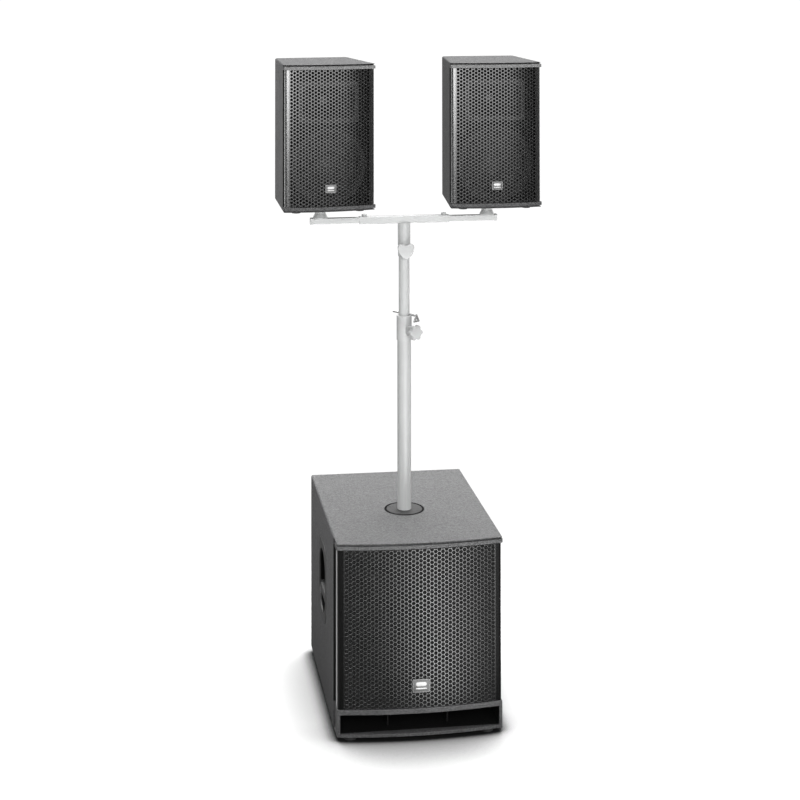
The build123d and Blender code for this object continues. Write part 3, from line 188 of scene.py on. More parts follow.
def cabinet_paint(name="cabinet_paint", base=0.038, rough=0.62, shade_boxes=(), seat=None, sheen=0.5, highlight_bands=(), side=None):
    """Textured black cabinet paint: fine sprayed spatter, faint mottling, edges rubbed a little lighter."""
    s = Shader(name)
    rounded, edge = s.edge(0.0012)
    spatter = s.voronoi(620.0, "SMOOTH_F1")
    grit = s.noise(900.0, 3.0, 0.62)
    height = s.math("ADD", s.math("MULTIPLY", spatter, 0.9), s.math("MULTIPLY", grit, 0.75))
    mottle = s.noise(7.0, 4.0, 0.6)
    grain = s.noise(210.0, 3.0, 0.7)
    speck = s.noise(1500.0, 1.0, 0.5)
    tone = s.math("ADD", s.remap(mottle, base * 0.88, base * 1.13, 0.3, 0.7), s.remap(speck, -0.006, 0.012, 0.35, 0.75))
    tone = s.math("MULTIPLY", tone, s.remap(grain, 0.62, 1.42, 0.3, 0.7))
    worn = s.math("MULTIPLY", edge, s.remap(s.noise(60.0, 5.0, 0.7), 0.15, 0.75, 0.4, 0.7))
    color = s.mix(worn, s.ramp(tone, [(0.0, (0.0, 0.0, 0.0)), (1.0, (1.0, 1.0, 1.02))]), (0.085, 0.085, 0.086, 1))
    spec = s.math("MULTIPLY", s.remap(grain, 0.60, 1.46, 0.3, 0.7), sheen)
    # painted shade: with side given, the sides (|x| beyond side) are darkened towards the bottom, in colour and in
    # specular
    if side:
        axes = s.n("ShaderNodeSeparateXYZ")
        s.link(s.coord.outputs["Object"], axes.inputs[0])
        low = s.remap(axes.outputs[2], 0.70, 1.04, 0.02, 0.50)
        on_side = s.math("GREATER_THAN", s.math("ABSOLUTE", axes.outputs[0]), side)
        painted_side_shade = s.math("ADD", s.math("MULTIPLY", on_side, low), s.math("SUBTRACT", 1.0, on_side))
        color = s.mix(painted_side_shade, (0.004, 0.004, 0.004, 1), color)
        spec = s.math("MULTIPLY", spec, painted_side_shade)
    # painted highlight: inside the bands boxes the colour is raised to a lighter grey
    if highlight_bands:
        color = s.mix(inside_mask(s, highlight_bands, seat), color, s.ramp(grain, [(0.3, 0.10), (0.7, 0.16)]))
    # painted shade: inside the boxes the colour goes near black and the specular drops
    if shade_boxes:
        inside = inside_mask(s, shade_boxes, seat)
        color = s.mix(inside, color, (0.004, 0.004, 0.004, 1))
        spec = s.math("MULTIPLY", spec, s.remap(inside, 1.0, 0.25))
    r = s.math("ADD", s.remap(mottle, rough - 0.05, rough + 0.05, 0.3, 0.7), s.remap(grit, -0.05, 0.05, 0.3, 0.7))
    height = s.math("ADD", height, s.math("MULTIPLY", grain, 4.0))
    n = s.bump(height, 0.0006, 0.8, rounded)
    return s.set(color=color, rough=r, normal=n, spec=spec)


def powder_coat(name, base, rough, scale=1400.0, depth=0.00006, spec=0.5, edge_tone=None):
    """Smooth powder coat with a slight orange peel."""
    s = Shader(name)
    rounded, edge = s.edge(0.0005)
    peel = s.noise(scale, 2.0, 0.5)
    cloud = s.noise(11.0, 3.0, 0.55)
    tone = s.remap(cloud, base * 0.9, base * 1.12, 0.3, 0.7)
    plain = s.ramp(tone, [(0.0, 0.0), (1.0, 1.0)])
    color = s.mix(s.math("MULTIPLY", edge, 0.55), plain, grey(edge_tone or base * 1.9))
    r = s.remap(s.noise(340.0, 3.0, 0.6), rough - 0.05, rough + 0.06, 0.3, 0.7)
    return s.set(color=color, rough=r, normal=s.bump(peel, depth, 0.8, rounded), spec=spec)


def grille_coat(name, base, rough, spec, half, margin, gain, seat=None):
    """Black powder coat of a folded perforated sheet. Plain margins (beyond margin, in metres from the middle)
    have their own sheen, and the folded sides get a painted highlight: their colour turns pale where they are seen
    edge-on."""
    s = Shader(name)
    rounded, edge = s.edge(0.0004)
    sep = s.n("ShaderNodeSeparateXYZ")
    if seat:
        m = s.n("ShaderNodeMapping", vector_type="TEXTURE")
        m.inputs["Location"].default_value = seat[0]
        m.inputs["Rotation"].default_value = (0, 0, seat[1])
        s.link(s.coord.outputs["Object"], m.inputs["Vector"])
        s.link(m.outputs[0], sep.inputs[0])
    else:
        s.link(s.coord.outputs["Object"], sep.inputs[0])
    out = s.math("ABSOLUTE", sep.outputs[0])
    side = s.math("GREATER_THAN", out, half - 0.0003)
    plain_band = s.math("GREATER_THAN", out, margin)
    layer = s.n("ShaderNodeLayerWeight")
    layer.inputs["Blend"].default_value = 0.5
    edge_on_highlight = s.remap(layer.outputs["Facing"], 0.0, 1.0, 0.72, 0.93)
    peel = s.noise(900.0, 2.0, 0.5)
    cloud = s.noise(11.0, 3.0, 0.55)
    tone = s.remap(cloud, base * 0.9, base * 1.12, 0.3, 0.7)
    coat = s.ramp(tone, [(0.0, 0.0), (1.0, 1.0)])
    color = s.mix(s.math("MULTIPLY", edge, 0.55), coat, grey(0.012))
    # painted highlight on the folded sides, stronger the more edge-on they are seen
    color = s.mix(s.math("MULTIPLY", side, edge_on_highlight), color, grey(0.55))
    r = s.remap(s.noise(340.0, 3.0, 0.6), rough - 0.04, rough + 0.05, 0.3, 0.7)
    level = s.remap(plain_band, spec, min(1.0, spec * gain))
    return s.set(color=color, rough=r, normal=s.bump(peel, 0.00002, 0.8, rounded), spec=level)


def moulded(name, base, rough, grain=1100.0, depth=0.00012, tint=(0, 0, 0), gloss=0.0, shade_boxes=()):
    """Moulded plastic: eroded grain, faint flow marks, softened edges."""
    s = Shader(name)
    rounded, edge = s.edge(0.0006)
    g = s.math("ADD", s.math("MULTIPLY", s.voronoi(grain, "F1"), 0.8), s.noise(grain * 1.7, 2.0, 0.6))
    flow = s.noise(5.0, 3.0, 0.5, s.mapping((1, 1, 6)))
    tone = s.remap(flow, base * 0.92, base * 1.1, 0.3, 0.7)
    plain = s.ramp(tone, [(0.0, (0, 0, 0)), (1.0, (1 + tint[0], 1 + tint[1], 1 + tint[2]))])
    color = s.mix(s.math("MULTIPLY", edge, 0.35), plain, grey(min(1.0, base * 1.7 + 0.01)))
    spec = 0.5
    # painted shade: inside the boxes the colour goes near black and the specular nearly vanishes
    if shade_boxes:
        inside = inside_mask(s, shade_boxes)
        color = s.mix(inside, color, (0.002, 0.002, 0.002, 1))
        spec = s.remap(inside, 0.55, 0.03)
    r = s.remap(s.noise(180.0, 4.0, 0.6), rough - 0.06, rough + 0.06, 0.3, 0.7)
    return s.set(color=color, rough=r, normal=s.bump(g, depth, 0.7, rounded), coat=gloss, coat_rough=0.15, spec=spec)


def rubber(name, base=0.022, rough=0.78):
    s = Shader(name)
    rounded, edge = s.edge(0.0007)
    g = s.noise(700.0, 4.0, 0.65)
    dust = s.noise(38.0, 5.0, 0.7)
    color = s.mix(s.remap(dust, 0.0, 0.35, 0.45, 0.75), grey(base), grey(base * 2.3))
    return s.set(color=color, rough=s.remap(dust, rough - 0.08, rough + 0.08, 0.3, 0.7),
                 normal=s.bump(g, 0.00012, 0.8, rounded), spec=0.35)


def foam(name="grille_foam_black"):
    """Open-cell foam: deep irregular cells."""
    s = Shader(name)
    cells = s.voronoi(430.0, "F1")
    fine = s.noise(1300.0, 3.0, 0.7)
    h = s.math("ADD", cells, s.math("MULTIPLY", fine, 0.4))
    color = s.ramp(cells, [(0.0, 0.002), (0.55, 0.007), (1.0, 0.018)])
    return s.set(color=color, rough=0.95, normal=s.bump(h, 0.0018, 1.0), spec=0.1, sheen=0.08)


def brushed(name, base, rough, axis=0, tint=(0, 0, 0), metal=1.0, depth=0.00003, streak=900.0):
    """Metal brushed along one axis of the part's own frame."""
    s = Shader(name)
    rounded, edge = s.edge(0.0004)
    stretch = [streak, streak, streak]
    stretch[axis] = streak / 60.0
    lines = s.noise(1.0, 4.0, 0.65, s.mapping(tuple(stretch)))
    cloud = s.noise(9.0, 3.0, 0.5)
    tone = s.math("ADD", s.remap(lines, base * 0.82, base * 1.12, 0.25, 0.75), s.remap(cloud, -0.03, 0.03, 0.3, 0.7))
    plain = s.ramp(tone, [(0.0, (0, 0, 0)), (1.0, (1 + tint[0], 1 + tint[1], 1 + tint[2]))])
    color = s.mix(s.math("MULTIPLY", edge, 0.3), plain, grey(min(1.0, base * 1.25)))
    r = s.remap(lines, rough - 0.08, rough + 0.1, 0.25, 0.75)
    return s.set(color=color, rough=r, metal=metal, normal=s.bump(lines, depth, 0.6, rounded))


def stand_metal(name="stand_metal", base=0.34):
    """Pale grey satin lacquer on drawn tube: faint lengthwise streaks and fine peel."""
    s = Shader(name)
    rounded, edge = s.edge(0.0008)
    lines = s.noise(1.0, 3.0, 0.6, s.mapping((520.0, 520.0, 9.0)))
    peel = s.noise(950.0, 2.0, 0.5)
    cloud = s.noise(14.0, 4.0, 0.6)
    tone = s.math("ADD", s.remap(cloud, base * 0.965, base * 1.03, 0.3, 0.7), s.remap(lines, -0.018, 0.018, 0.3, 0.7))
    plain = s.ramp(tone, [(0.0, (0, 0, 0)), (1.0, (0.985, 1.0, 0.995))])
    color = s.mix(s.math("MULTIPLY", edge, 0.3), plain, grey(base * 1.15))
    h = s.math("ADD", s.math("MULTIPLY", peel, 0.6), s.math("MULTIPLY", lines, 0.5))
    r = s.math("ADD", s.remap(cloud, 0.33, 0.41, 0.3, 0.7), s.remap(lines, -0.03, 0.03, 0.3, 0.7))
    return s.set(color=color, rough=r, normal=s.bump(h, 0.00005, 0.7, rounded), spec=0.5, coat=0.15, coat_rough=0.3)


def board_green(name="circuit_board"):
    s = Shader(name)
    tracks = s.n("ShaderNodeTexBrick")
    tracks.inputs["Scale"].default_value = 120.0
    tracks.inputs["Mortar Size"].default_value = 0.03
    tracks.inputs["Color1"].default_value = (0.01, 0.10, 0.035, 1)
    tracks.inputs["Color2"].default_value = (0.012, 0.12, 0.04, 1)
    tracks.inputs["Mortar"].default_value = (0.02, 0.2, 0.07, 1)
    s.link(s.coord.outputs["Object"], tracks.inputs["Vector"])
    n = s.noise(300.0, 3.0, 0.6)
    return s.set(color=tracks.outputs["Color"], rough=s.remap(n, 0.3, 0.5, 0.3, 0.7), normal=s.bump(n, 0.0001, 0.4))


def winding(name="copper_winding"):
    s = Shader(name)
    w = s.n("ShaderNodeTexWave", wave_type="RINGS", rings_direction="Y")
    w.inputs["Scale"].default_value = 260.0
    w.inputs["Distortion"].default_value = 1.5
    s.link(s.coord.outputs["Object"], w.inputs["Vector"])
    color = s.ramp(w.outputs["Fac"], [(0.0, (0.25, 0.09, 0.03)), (1.0, (0.62, 0.28, 0.11))])
    return s.set(color=color, rough=0.35, metal=0.7, normal=s.bump(w.outputs["Fac"], 0.0005, 0.7))


def cone_paper(name="cone_paper", lo=0.014, hi=0.034):
    """Coated paper cone: radial fibres and a faint sheen."""
    s = Shader(name)
    fibres = s.noise(420.0, 6.0, 0.75, distortion=0.8)
    big = s.noise(30.0, 3.0, 0.5)
    color = s.ramp(fibres, [(0.3, lo), (0.7, hi)])
    r = s.remap(big, 0.55, 0.7, 0.3, 0.7)
    return s.set(color=color, rough=r, normal=s.bump(fibres, 0.0004, 0.8), sheen=0.1)


def cloth(name, base, tint):
    s = Shader(name)
    a = s.n("ShaderNodeTexWave", wave_type="BANDS", bands_direction="X")
    a.inputs["Scale"].default_value = 900.0
    b = s.n("ShaderNodeTexWave", wave_type="BANDS", bands_direction="Z")
    b.inputs["Scale"].default_value = 900.0
    for w in (a, b):
        s.link(s.coord.outputs["Object"], w.inputs["Vector"])
    weave = s.math("MULTIPLY", a.outputs["Fac"], b.outputs["Fac"])
    lo = tuple(c * base * 0.6 for c in tint)
    hi = tuple(c * base for c in tint)
    return s.set(color=s.ramp(weave, [(0.0, lo), (1.0, hi)]), rough=0.9, normal=s.bump(weave, 0.0004, 0.8))


def glow(name, color, strength=1.2):
    s = Shader(name)
    n = s.noise(800.0, 2.0, 0.5)
    return s.set(color=(*color, 1), rough=s.remap(n, 0.15, 0.25), emit=(*color, 1), emit_s=strength, coat=0.6)


def printed(name="printed_white", v=0.62):
    """Silk-screen ink, slightly uneven."""
    s = Shader(name)
    n = s.noise(900.0, 3.0, 0.6)
    return s.set(color=s.ramp(n, [(0.3, v * 0.8), (0.7, v)]), rough=s.remap(n, 0.5, 0.65, 0.3, 0.7),
                 normal=s.bump(n, 0.00004, 0.5))


PAINT = cabinet_paint()
# painted shade: the boxes darken the inside behind the grille, the flange socket and the gap round the front frame;
# side=0.2223 adds painted shade on the sides, darker towards the bottom
SUB_PAINT = cabinet_paint("sub_cabinet_paint", side=0.2223, sheen=0.53, shade_boxes=[
    ((-0.2122, -0.2880, 0.0190), (0.2122, 0.2700, 0.4965)), ((-0.0530, -0.0935, 0.5050), (0.0530, 0.0135, 0.5116)), ((-0.22245, -0.2940, 0.0825), (0.22245, -0.2353, 0.4928))])
# painted shade boxes in the satellite's own frame: the inside behind the grille, the gap round the grille and a black
# line under the top front edge
SAT_SHADE_BOXES = [((-0.1216, -0.1300, 0.0145), (0.1216, -0.0640, 0.3815)), ((-0.1000, -0.0700, 0.0145), (0.1000, 0.1100, 0.3815)), ((-0.1276, -0.1300, 0.0141), (0.1276, -0.1069, 0.3819)),
              ((-0.1300, -0.1500, 0.3918), (0.1300, -0.1180, 0.3957))]
# painted highlight on the satellites' top front rail
SAT_RAIL_HIGHLIGHT = [((-0.1265, -0.1500, 0.3812), (0.1265, -0.1180, 0.3919))]
LEFT_PAINT = cabinet_paint("left_cabinet_paint", shade_boxes=SAT_SHADE_BOXES, seat=((-0.235, -0.040, 1.358), math.radians(5.5)), sheen=0.34, highlight_bands=SAT_RAIL_HIGHLIGHT)
RIGHT_PAINT = cabinet_paint("right_cabinet_paint", shade_boxes=SAT_SHADE_BOXES, seat=((0.235, -0.040, 1.358), 0.0), sheen=0.34, highlight_bands=SAT_RAIL_HIGHLIGHT)
# painted shade inside the port; the ribs' paint is also set darker (base 0.03) as painted shade in the port
SHELF_PAINT = cabinet_paint("shelf_paint", shade_boxes=[((-0.2150, -0.2830, 0.0600), (0.2150, 0.2700, 0.0900))])
RIB_PAINT = cabinet_paint("rib_paint", 0.03, shade_boxes=[((-0.2150, -0.2860, 0.0200), (0.2150, 0.2700, 0.0900))])
GRILLE = grille_coat("sub_grille_coat", 0.0035, 0.22, 0.70, 0.2185, 0.2030, 0.22)
LEFT_GRILLE = grille_coat("left_grille_coat", 0.004, 0.22, 0.62, 0.1235, 0.1130, 1.6, ((-0.235, -0.040, 1.358), math.radians(5.5)))
RIGHT_GRILLE = grille_coat("right_grille_coat", 0.004, 0.22, 0.62, 0.1235, 0.1130, 1.6, ((0.235, -0.040, 1.358), 0.0))
BOARD = moulded("black_board_stain", 0.012, 0.8, 500.0, 0.0003)
FOAM = foam()
BADGE = brushed("badge_brushed", 0.42, 0.5, 0, metal=0.12)
BADGE_RIM = brushed("badge_plate", 0.13, 0.45, 0, metal=0.15)
BADGE_DARK = brushed("badge_field", 0.07, 0.5, 0, metal=0.1, streak=1200.0)
BASKET = powder_coat("basket_coat", 0.02, 0.5, 900.0)
# painted shade: the satellites' basket, horn and cone are set far darker than the sub's driver materials, standing in
# for the shade behind the grille
SAT_BASKET_SHADED = powder_coat("satellite_basket_coat", 0.006, 0.62, 900.0, spec=0.3, edge_tone=0.012)
SAT_HORN_SHADED = moulded("horn_black", 0.008, 0.6, 900.0, 0.0001)
FERRITE = moulded("ferrite_grey", 0.06, 0.6, 700.0, 0.0002)
SURROUND = rubber("surround_rubber", 0.018, 0.6)
CONE = cone_paper()
# painted shade: darker copy of the cone paper for the satellites
SAT_CONE_SHADED = cone_paper("satellite_cone_paper", 0.004, 0.010)
SPIDER = cloth("spider_cloth", 0.5, (1.0, 0.72, 0.3))
PLASTIC = moulded("black_moulded", 0.026, 0.5)
# painted shade: the handle's openings are coloured near black with almost no specular
HANDLE = moulded("handle_moulded", 0.016, 0.44, 900.0, 0.0001, shade_boxes=[
    ((-0.2080, -0.2, 0.1), (0.2080, 0.2, 0.5)), ((-0.2195, -0.2, 0.2872), (0.2195, 0.2, 0.5)), ((-0.2195, -0.2, 0.1), (0.2195, 0.2, 0.2528))])
RUBBER = rubber("foot_rubber", 0.02, 0.75)
FLANGE = powder_coat("flange_coat", 0.018, 0.5, 700.0, 0.00018, 0.30, 0.05)
SCREW = brushed("screw_black_zinc", 0.012, 0.42, 0, metal=0.0, streak=1500.0)
PANEL = powder_coat("amp_panel_coat", 0.022, 0.46, 1000.0, 0.00008)
SINK = brushed("heat_sink_anodised", 0.035, 0.4, 2, metal=0.85, depth=0.00005)
GREEN = board_green()
COPPER = winding()
SOCKET = moulded("socket_black", 0.02, 0.32, 1600.0, 0.00004, gloss=0.25)
KNOB = moulded("knob_soft", 0.03, 0.62, 1500.0, 0.00006)
STAND = stand_metal()
STAND_PLASTIC = moulded("stand_moulded", 0.33, 0.5, 900.0, 0.00012, (-0.01, 0.0, 0.0))
PIN = brushed("pin_steel", 0.66, 0.25, 1)
INK = printed()

USE = {
    "sub_cabinet": SUB_PAINT, "sub_baffle": BOARD, "port_shelf": SHELF_PAINT, "port_ribs": RIB_PAINT, "sub_grille": GRILLE,
    "grille_foam": FOAM, "sub_badge": BADGE, "woofer_basket": BASKET, "woofer_magnet": FERRITE,
    "woofer_surround": SURROUND, "woofer_spider": SPIDER, "side_handles": HANDLE, "feet": RUBBER,
    "pole_flange": FLANGE, "panel_screws": SCREW, "woofer_bolts": SCREW, "amp_plate": PANEL, "heat_sink": SINK,
    "amp_board": GREEN, "power_transformer": COPPER, "signal_sockets": SOCKET, "speaker_outputs": SOCKET,
    "mains_inlet": SOCKET, "woofer_cone": CONE, "main_knob": KNOB, "sub_knob": KNOB, "high_knob": KNOB,
    "power_switch": SOCKET, "lift_switch": SOCKET, "lower_pole": STAND, "clamp_collar": STAND_PLASTIC,
    "clamp_knob": STAND_PLASTIC, "safety_pin": PIN, "upper_pole": STAND, "t_bar": STAND,
    "t_bar_knob": STAND_PLASTIC, "left_arm": STAND, "right_arm": STAND, "left_arm_screw": STAND,
    "right_arm_screw": STAND}
for side in ("left", "right"):
    for key, mat in {
            "cabinet": PAINT, "grille": GRILLE, "badge": BADGE, "woofer_frame": SAT_BASKET_SHADED, "woofer_cone": SAT_CONE_SHADED,
            "horn": SAT_HORN_SHADED, "high_driver": FERRITE, "pole_socket": PLASTIC, "terminal_plate": PLASTIC,
            "feet": RUBBER}.items():
        USE[f"{side}_{key}"] = mat
USE["left_cabinet"], USE["right_cabinet"] = LEFT_PAINT, RIGHT_PAINT
USE["left_grille"], USE["right_grille"] = LEFT_GRILLE, RIGHT_GRILLE
for name, obj in NODES.items():
    obj.data.materials.clear()
    obj.data.materials.append(USE[name])


# ------------------------------------------------------------------ mesh helpers
def make(name, verts, faces, mat, body, angle=35.0):
    mesh = bpy.data.meshes.new(name)
    mesh.from_pydata([tuple(v) for v in verts], [], faces)
    mesh.validate()
    mesh.materials.append(mat)
    obj = bpy.data.objects.new(name, mesh)
    scene.collection.objects.link(obj)
    finish_mesh(obj, angle)
    if body:
        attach(obj, body)
    return obj


def finish_mesh(obj, angle=35.0):
    mesh = obj.data
    bm = bmesh.new()
    bm.from_mesh(mesh)
    bmesh.ops.recalc_face_normals(bm, faces=bm.faces)
    bm.to_mesh(mesh)
    bm.free()
    mesh.polygons.foreach_set("use_smooth", [True] * len(mesh.polygons))
    mesh.set_sharp_from_angle(angle=math.radians(angle))


class Sheet:
    """Developed outline of a bowed sheet with folded sides, in plan."""

    def __init__(self, radius, centre_y, half, bend, back):
        self.r, self.c, self.g, self.b = radius, centre_y, half, bend
        self.t1 = math.asin((half - bend) / (radius - bend))
        self.yf = centre_y - math.sqrt((radius - bend) ** 2 - (half - bend) ** 2)
        self.s1 = radius * self.t1
        self.s2 = self.s1 + bend * (math.pi / 2 - self.t1)
        self.s3 = self.s2 + (back - self.yf)

    def at(self, s, depth):
        a, sign = abs(s), (1 if s >= 0 else -1)
        if a <= self.s1:
            t = a / self.r
            x, y = math.sin(t) * (self.r - depth), self.c - math.cos(t) * (self.r - depth)
        elif a <= self.s2:
            p = self.t1 + (a - self.s1) / self.b
            x, y = self.g - self.b + (self.b - depth) * math.sin(p), self.yf - (self.b - depth) * math.cos(p)
        else:
            x, y = self.g - depth, self.yf + (a - self.s2)
        return sign * x, y


def perforated(name, sheet, z0, z1, dx, dz, columns, hole, sides, thick, lip, place, mat, body, node):
    """A bowed sheet with staggered holes, each with a pressed lip round it, and plain margins and folds."""
    verts, faces, index = [], [], {}

    def v(s, d, z):
        key = (round(s, 3), round(d, 3), round(z, 3))
        if key not in index:
            index[key] = len(verts)
            verts.append((s, d, z))
        return index[key]

    half_a = (dx * dx - dz * dz / 4) / (2 * dx)
    half_b = (dx * dx + dz * dz / 4) / (2 * dx)
    corner = [(half_b, 0), (half_a, dz / 2), (-half_a, dz / 2), (-half_b, 0), (-half_a, -dz / 2), (half_a, -dz / 2)]
    step = sides // 6
    rim = []
    for i in range(6):
        p, q = corner[i], corner[(i + 1) % 6]
        for k in range(step):
            f = k / step
            rim.append((p[0] + (q[0] - p[0]) * f, p[1] + (q[1] - p[1]) * f))
    ring = []
    for i in range(sides):
        a = 2 * math.pi * i / sides
        r = hole / math.cos(math.pi / 6) if sides == 6 else hole
        ring.append((r * math.cos(a), r * math.sin(a)))
    mid = (z0 + z1) / 2
    rows = int((z1 - z0) / dz) + 4
    low_row, high_row = -(rows // 2), rows // 2
    for k in range(columns):
        s = (k - (columns - 1) / 2) * dx
        shift = dz / 2 if k % 2 else 0.0
        for j in range(low_row, high_row + 1):
            z = mid + j * dz + shift
            if z - dz / 2 > z1 + 0.01 or z + dz / 2 < z0 - 0.01:
                continue
            for i in range(sides):
                m = (i + 1) % sides
                o1, o2 = rim[i], rim[m]
                h1, h2 = ring[i], ring[m]
                g1, g2 = (h1[0] * (1 + lip / hole), h1[1] * (1 + lip / hole)), (h2[0] * (1 + lip / hole), h2[1] * (1 + lip / hole))
                a1, a2 = v(s + o1[0], 0, z + o1[1]), v(s + o2[0], 0, z + o2[1])
                b1, b2 = v(s + g1[0], 0, z + g1[1]), v(s + g2[0], 0, z + g2[1])
                c1, c2 = v(s + h1[0], lip, z + h1[1]), v(s + h2[0], lip, z + h2[1])
                d1, d2 = v(s + h1[0], thick, z + h1[1]), v(s + h2[0], thick, z + h2[1])
                e1, e2 = v(s + o1[0], thick, z + o1[1]), v(s + o2[0], thick, z + o2[1])
                faces += [(a1, a2, b2, b1), (b1, b2, c2, c1), (c1, c2, d2, d1), (d1, d2, e2, e1)]
    for sign, k in ((-1, 0), (1, columns - 1)):
        s = (k - (columns - 1) / 2) * dx
        shift = dz / 2 if k % 2 else 0.0
        inner = half_b
        cols = [sheet.s1 - 1.0, sheet.s1] + [sheet.s1 + (sheet.s2 - sheet.s1) * i / 6 for i in range(1, 7)]
        cols += [sheet.s2 + (sheet.s3 - sheet.s2) * f for f in (0.5, 1.0)]
        first = abs(s) + inner
        cols = [(first + cols[0]) / 2] + cols
        for j in range(low_row, high_row + 1):
            z = mid + j * dz + shift
            if z - dz / 2 > z1 + 0.01 or z + dz / 2 < z0 - 0.01:
                continue
            levels = [(z - dz / 2, half_a), (z, half_b), (z + dz / 2, half_a)]
            if step == 2:
                levels = [(z - dz / 2, half_a), (z - dz / 4, (half_a + half_b) / 2), (z, half_b),
                          (z + dz / 4, (half_a + half_b) / 2), (z + dz / 2, half_a)]
            for (za, ha), (zb, hb) in zip(levels, levels[1:]):
                for d in (0, thick):
                    pa, pb = v(s + sign * ha, d, za), v(s + sign * hb, d, zb)
                    for c in cols:
                        qa, qb = v(sign * c, d, za), v(sign * c, d, zb)
                        faces.append((pa, pb, qb, qa))
                        pa, pb = qa, qb
                e = sign * cols[-1]
                faces.append((v(e, 0, za), v(e, 0, zb), v(e, thick, zb), v(e, thick, za)))
    mesh = bpy.data.meshes.new(name)
    mesh.from_pydata(verts, [], faces)
    bm = bmesh.new()
    bm.from_mesh(mesh)
    for z, up in ((z1, 1), (z0, -1)):
        cut = bmesh.ops.bisect_plane(
            bm, geom=bm.verts[:] + bm.edges[:] + bm.faces[:], dist=1e-4, plane_co=(0, 0, z), plane_no=(0, 0, up),
            clear_outer=True)
        edges = [g for g in cut["geom_cut"] if isinstance(g, bmesh.types.BMEdge) and g.is_boundary]
        bmesh.ops.holes_fill(bm, edges=edges, sides=0)
    for vert in bm.verts:
        s, d, z = vert.co
        x, y = sheet.at(s, d)
        vert.co = place @ Vector((x / 1000, y / 1000, z / 1000))
    bmesh.ops.recalc_face_normals(bm, faces=bm.faces)
    loose = [e for e in bm.edges if e.is_boundary]
    print(name, "faces", len(bm.faces), "open edges", len(loose))
    bm.to_mesh(mesh)
    bm.free()
    mesh.materials.append(mat)
    obj = bpy.data.objects.new(name, mesh)
    scene.collection.objects.link(obj)
    mesh.polygons.foreach_set("use_smooth", [True] * len(mesh.polygons))
    mesh.set_sharp_from_angle(angle=math.radians(25))
    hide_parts(node)
    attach(obj, body)
    return obj


# ------------------------------------------------------------------ grilles
FOOT = 12.0
SUB_W, SUB_D, SUB_BOW = 445.0, 587.0, 18.0
SUB_R = (SUB_W ** 2 / 4 + SUB_BOW ** 2) / (2 * SUB_BOW)
SUB_YC = -SUB_D / 2 - SUB_BOW + SUB_R
sub_sheet = Sheet(SUB_R - 4.0, SUB_YC, SUB_W / 2 - 4.0, 7.0, -SUB_D / 2 + 34.0)
perforated("sub_grille_perforated", sub_sheet, FOOT + 70.5, FOOT + 481.0, 9.8, 11.0, 41, 4.7, 6, 1.5, 0.3,
           Matrix.Identity(4), GRILLE, "subwoofer", "sub_grille")

SAT_W, SAT_D, SAT_BOW, SAT_Z = 256.0, 250.0, 13.0, 1346.0
SAT_R = (SAT_W ** 2 / 4 + SAT_BOW ** 2) / (2 * SAT_BOW)
SAT_YC = -SAT_D / 2 - SAT_BOW + SAT_R
SEAT = {
    "left": Matrix.Translation((-0.235, -0.040, (FOOT + SAT_Z) / 1000)) @ Matrix.Rotation(math.radians(5.5), 4, "Z"),
    "right": Matrix.Translation((0.235, -0.040, (FOOT + SAT_Z) / 1000))}
sat_sheet = Sheet(SAT_R - 3.0, SAT_YC, SAT_W / 2 - 4.5, 6.0, -SAT_D / 2 + 14.0)
for side in ("left", "right"):
    perforated(f"{side}_grille_perforated", sat_sheet, 14.2, 381.8, 8.2, 9.5, 27, 3.6, 12, 1.4, 0.25,
               SEAT[side], USE[f"{side}_grille"], f"{side}_satellite", f"{side}_grille")


# ------------------------------------------------------------------ badges
def rounded_loop(w, h, r, n=6):
    pts = []
    for cx, cy, a0 in ((w / 2 - r, h / 2 - r, 0), (-w / 2 + r, h / 2 - r, 90), (-w / 2 + r, -h / 2 + r, 180), (w / 2 - r, -h / 2 + r, 270)):
        for i in range(n + 1):
            a = math.radians(a0 + 90 * i / n)
            pts.append((cx + r * math.cos(a), cy + r * math.sin(a)))
    return pts


def loft(name, rings, mat, body, place, close_first=True, close_last=True, angle=35.0):
    """Joins equal-length loops of (x, y, z) into one closed skin."""
    verts, faces = [], []
    n = len(rings[0])
    for ring in rings:
        verts += [place @ Vector(p) for p in ring]
    for k in range(len(rings) - 1):
        for i in range(n):
            j = (i + 1) % n
            faces.append((k * n + i, k * n + j, (k + 1) * n + j, (k + 1) * n + i))
    if close_first:
        faces.append(tuple(range(n))[::-1])
    if close_last:
        faces.append(tuple((len(rings) - 1) * n + i for i in range(n)))
    return make(name, verts, faces, mat, body, angle)


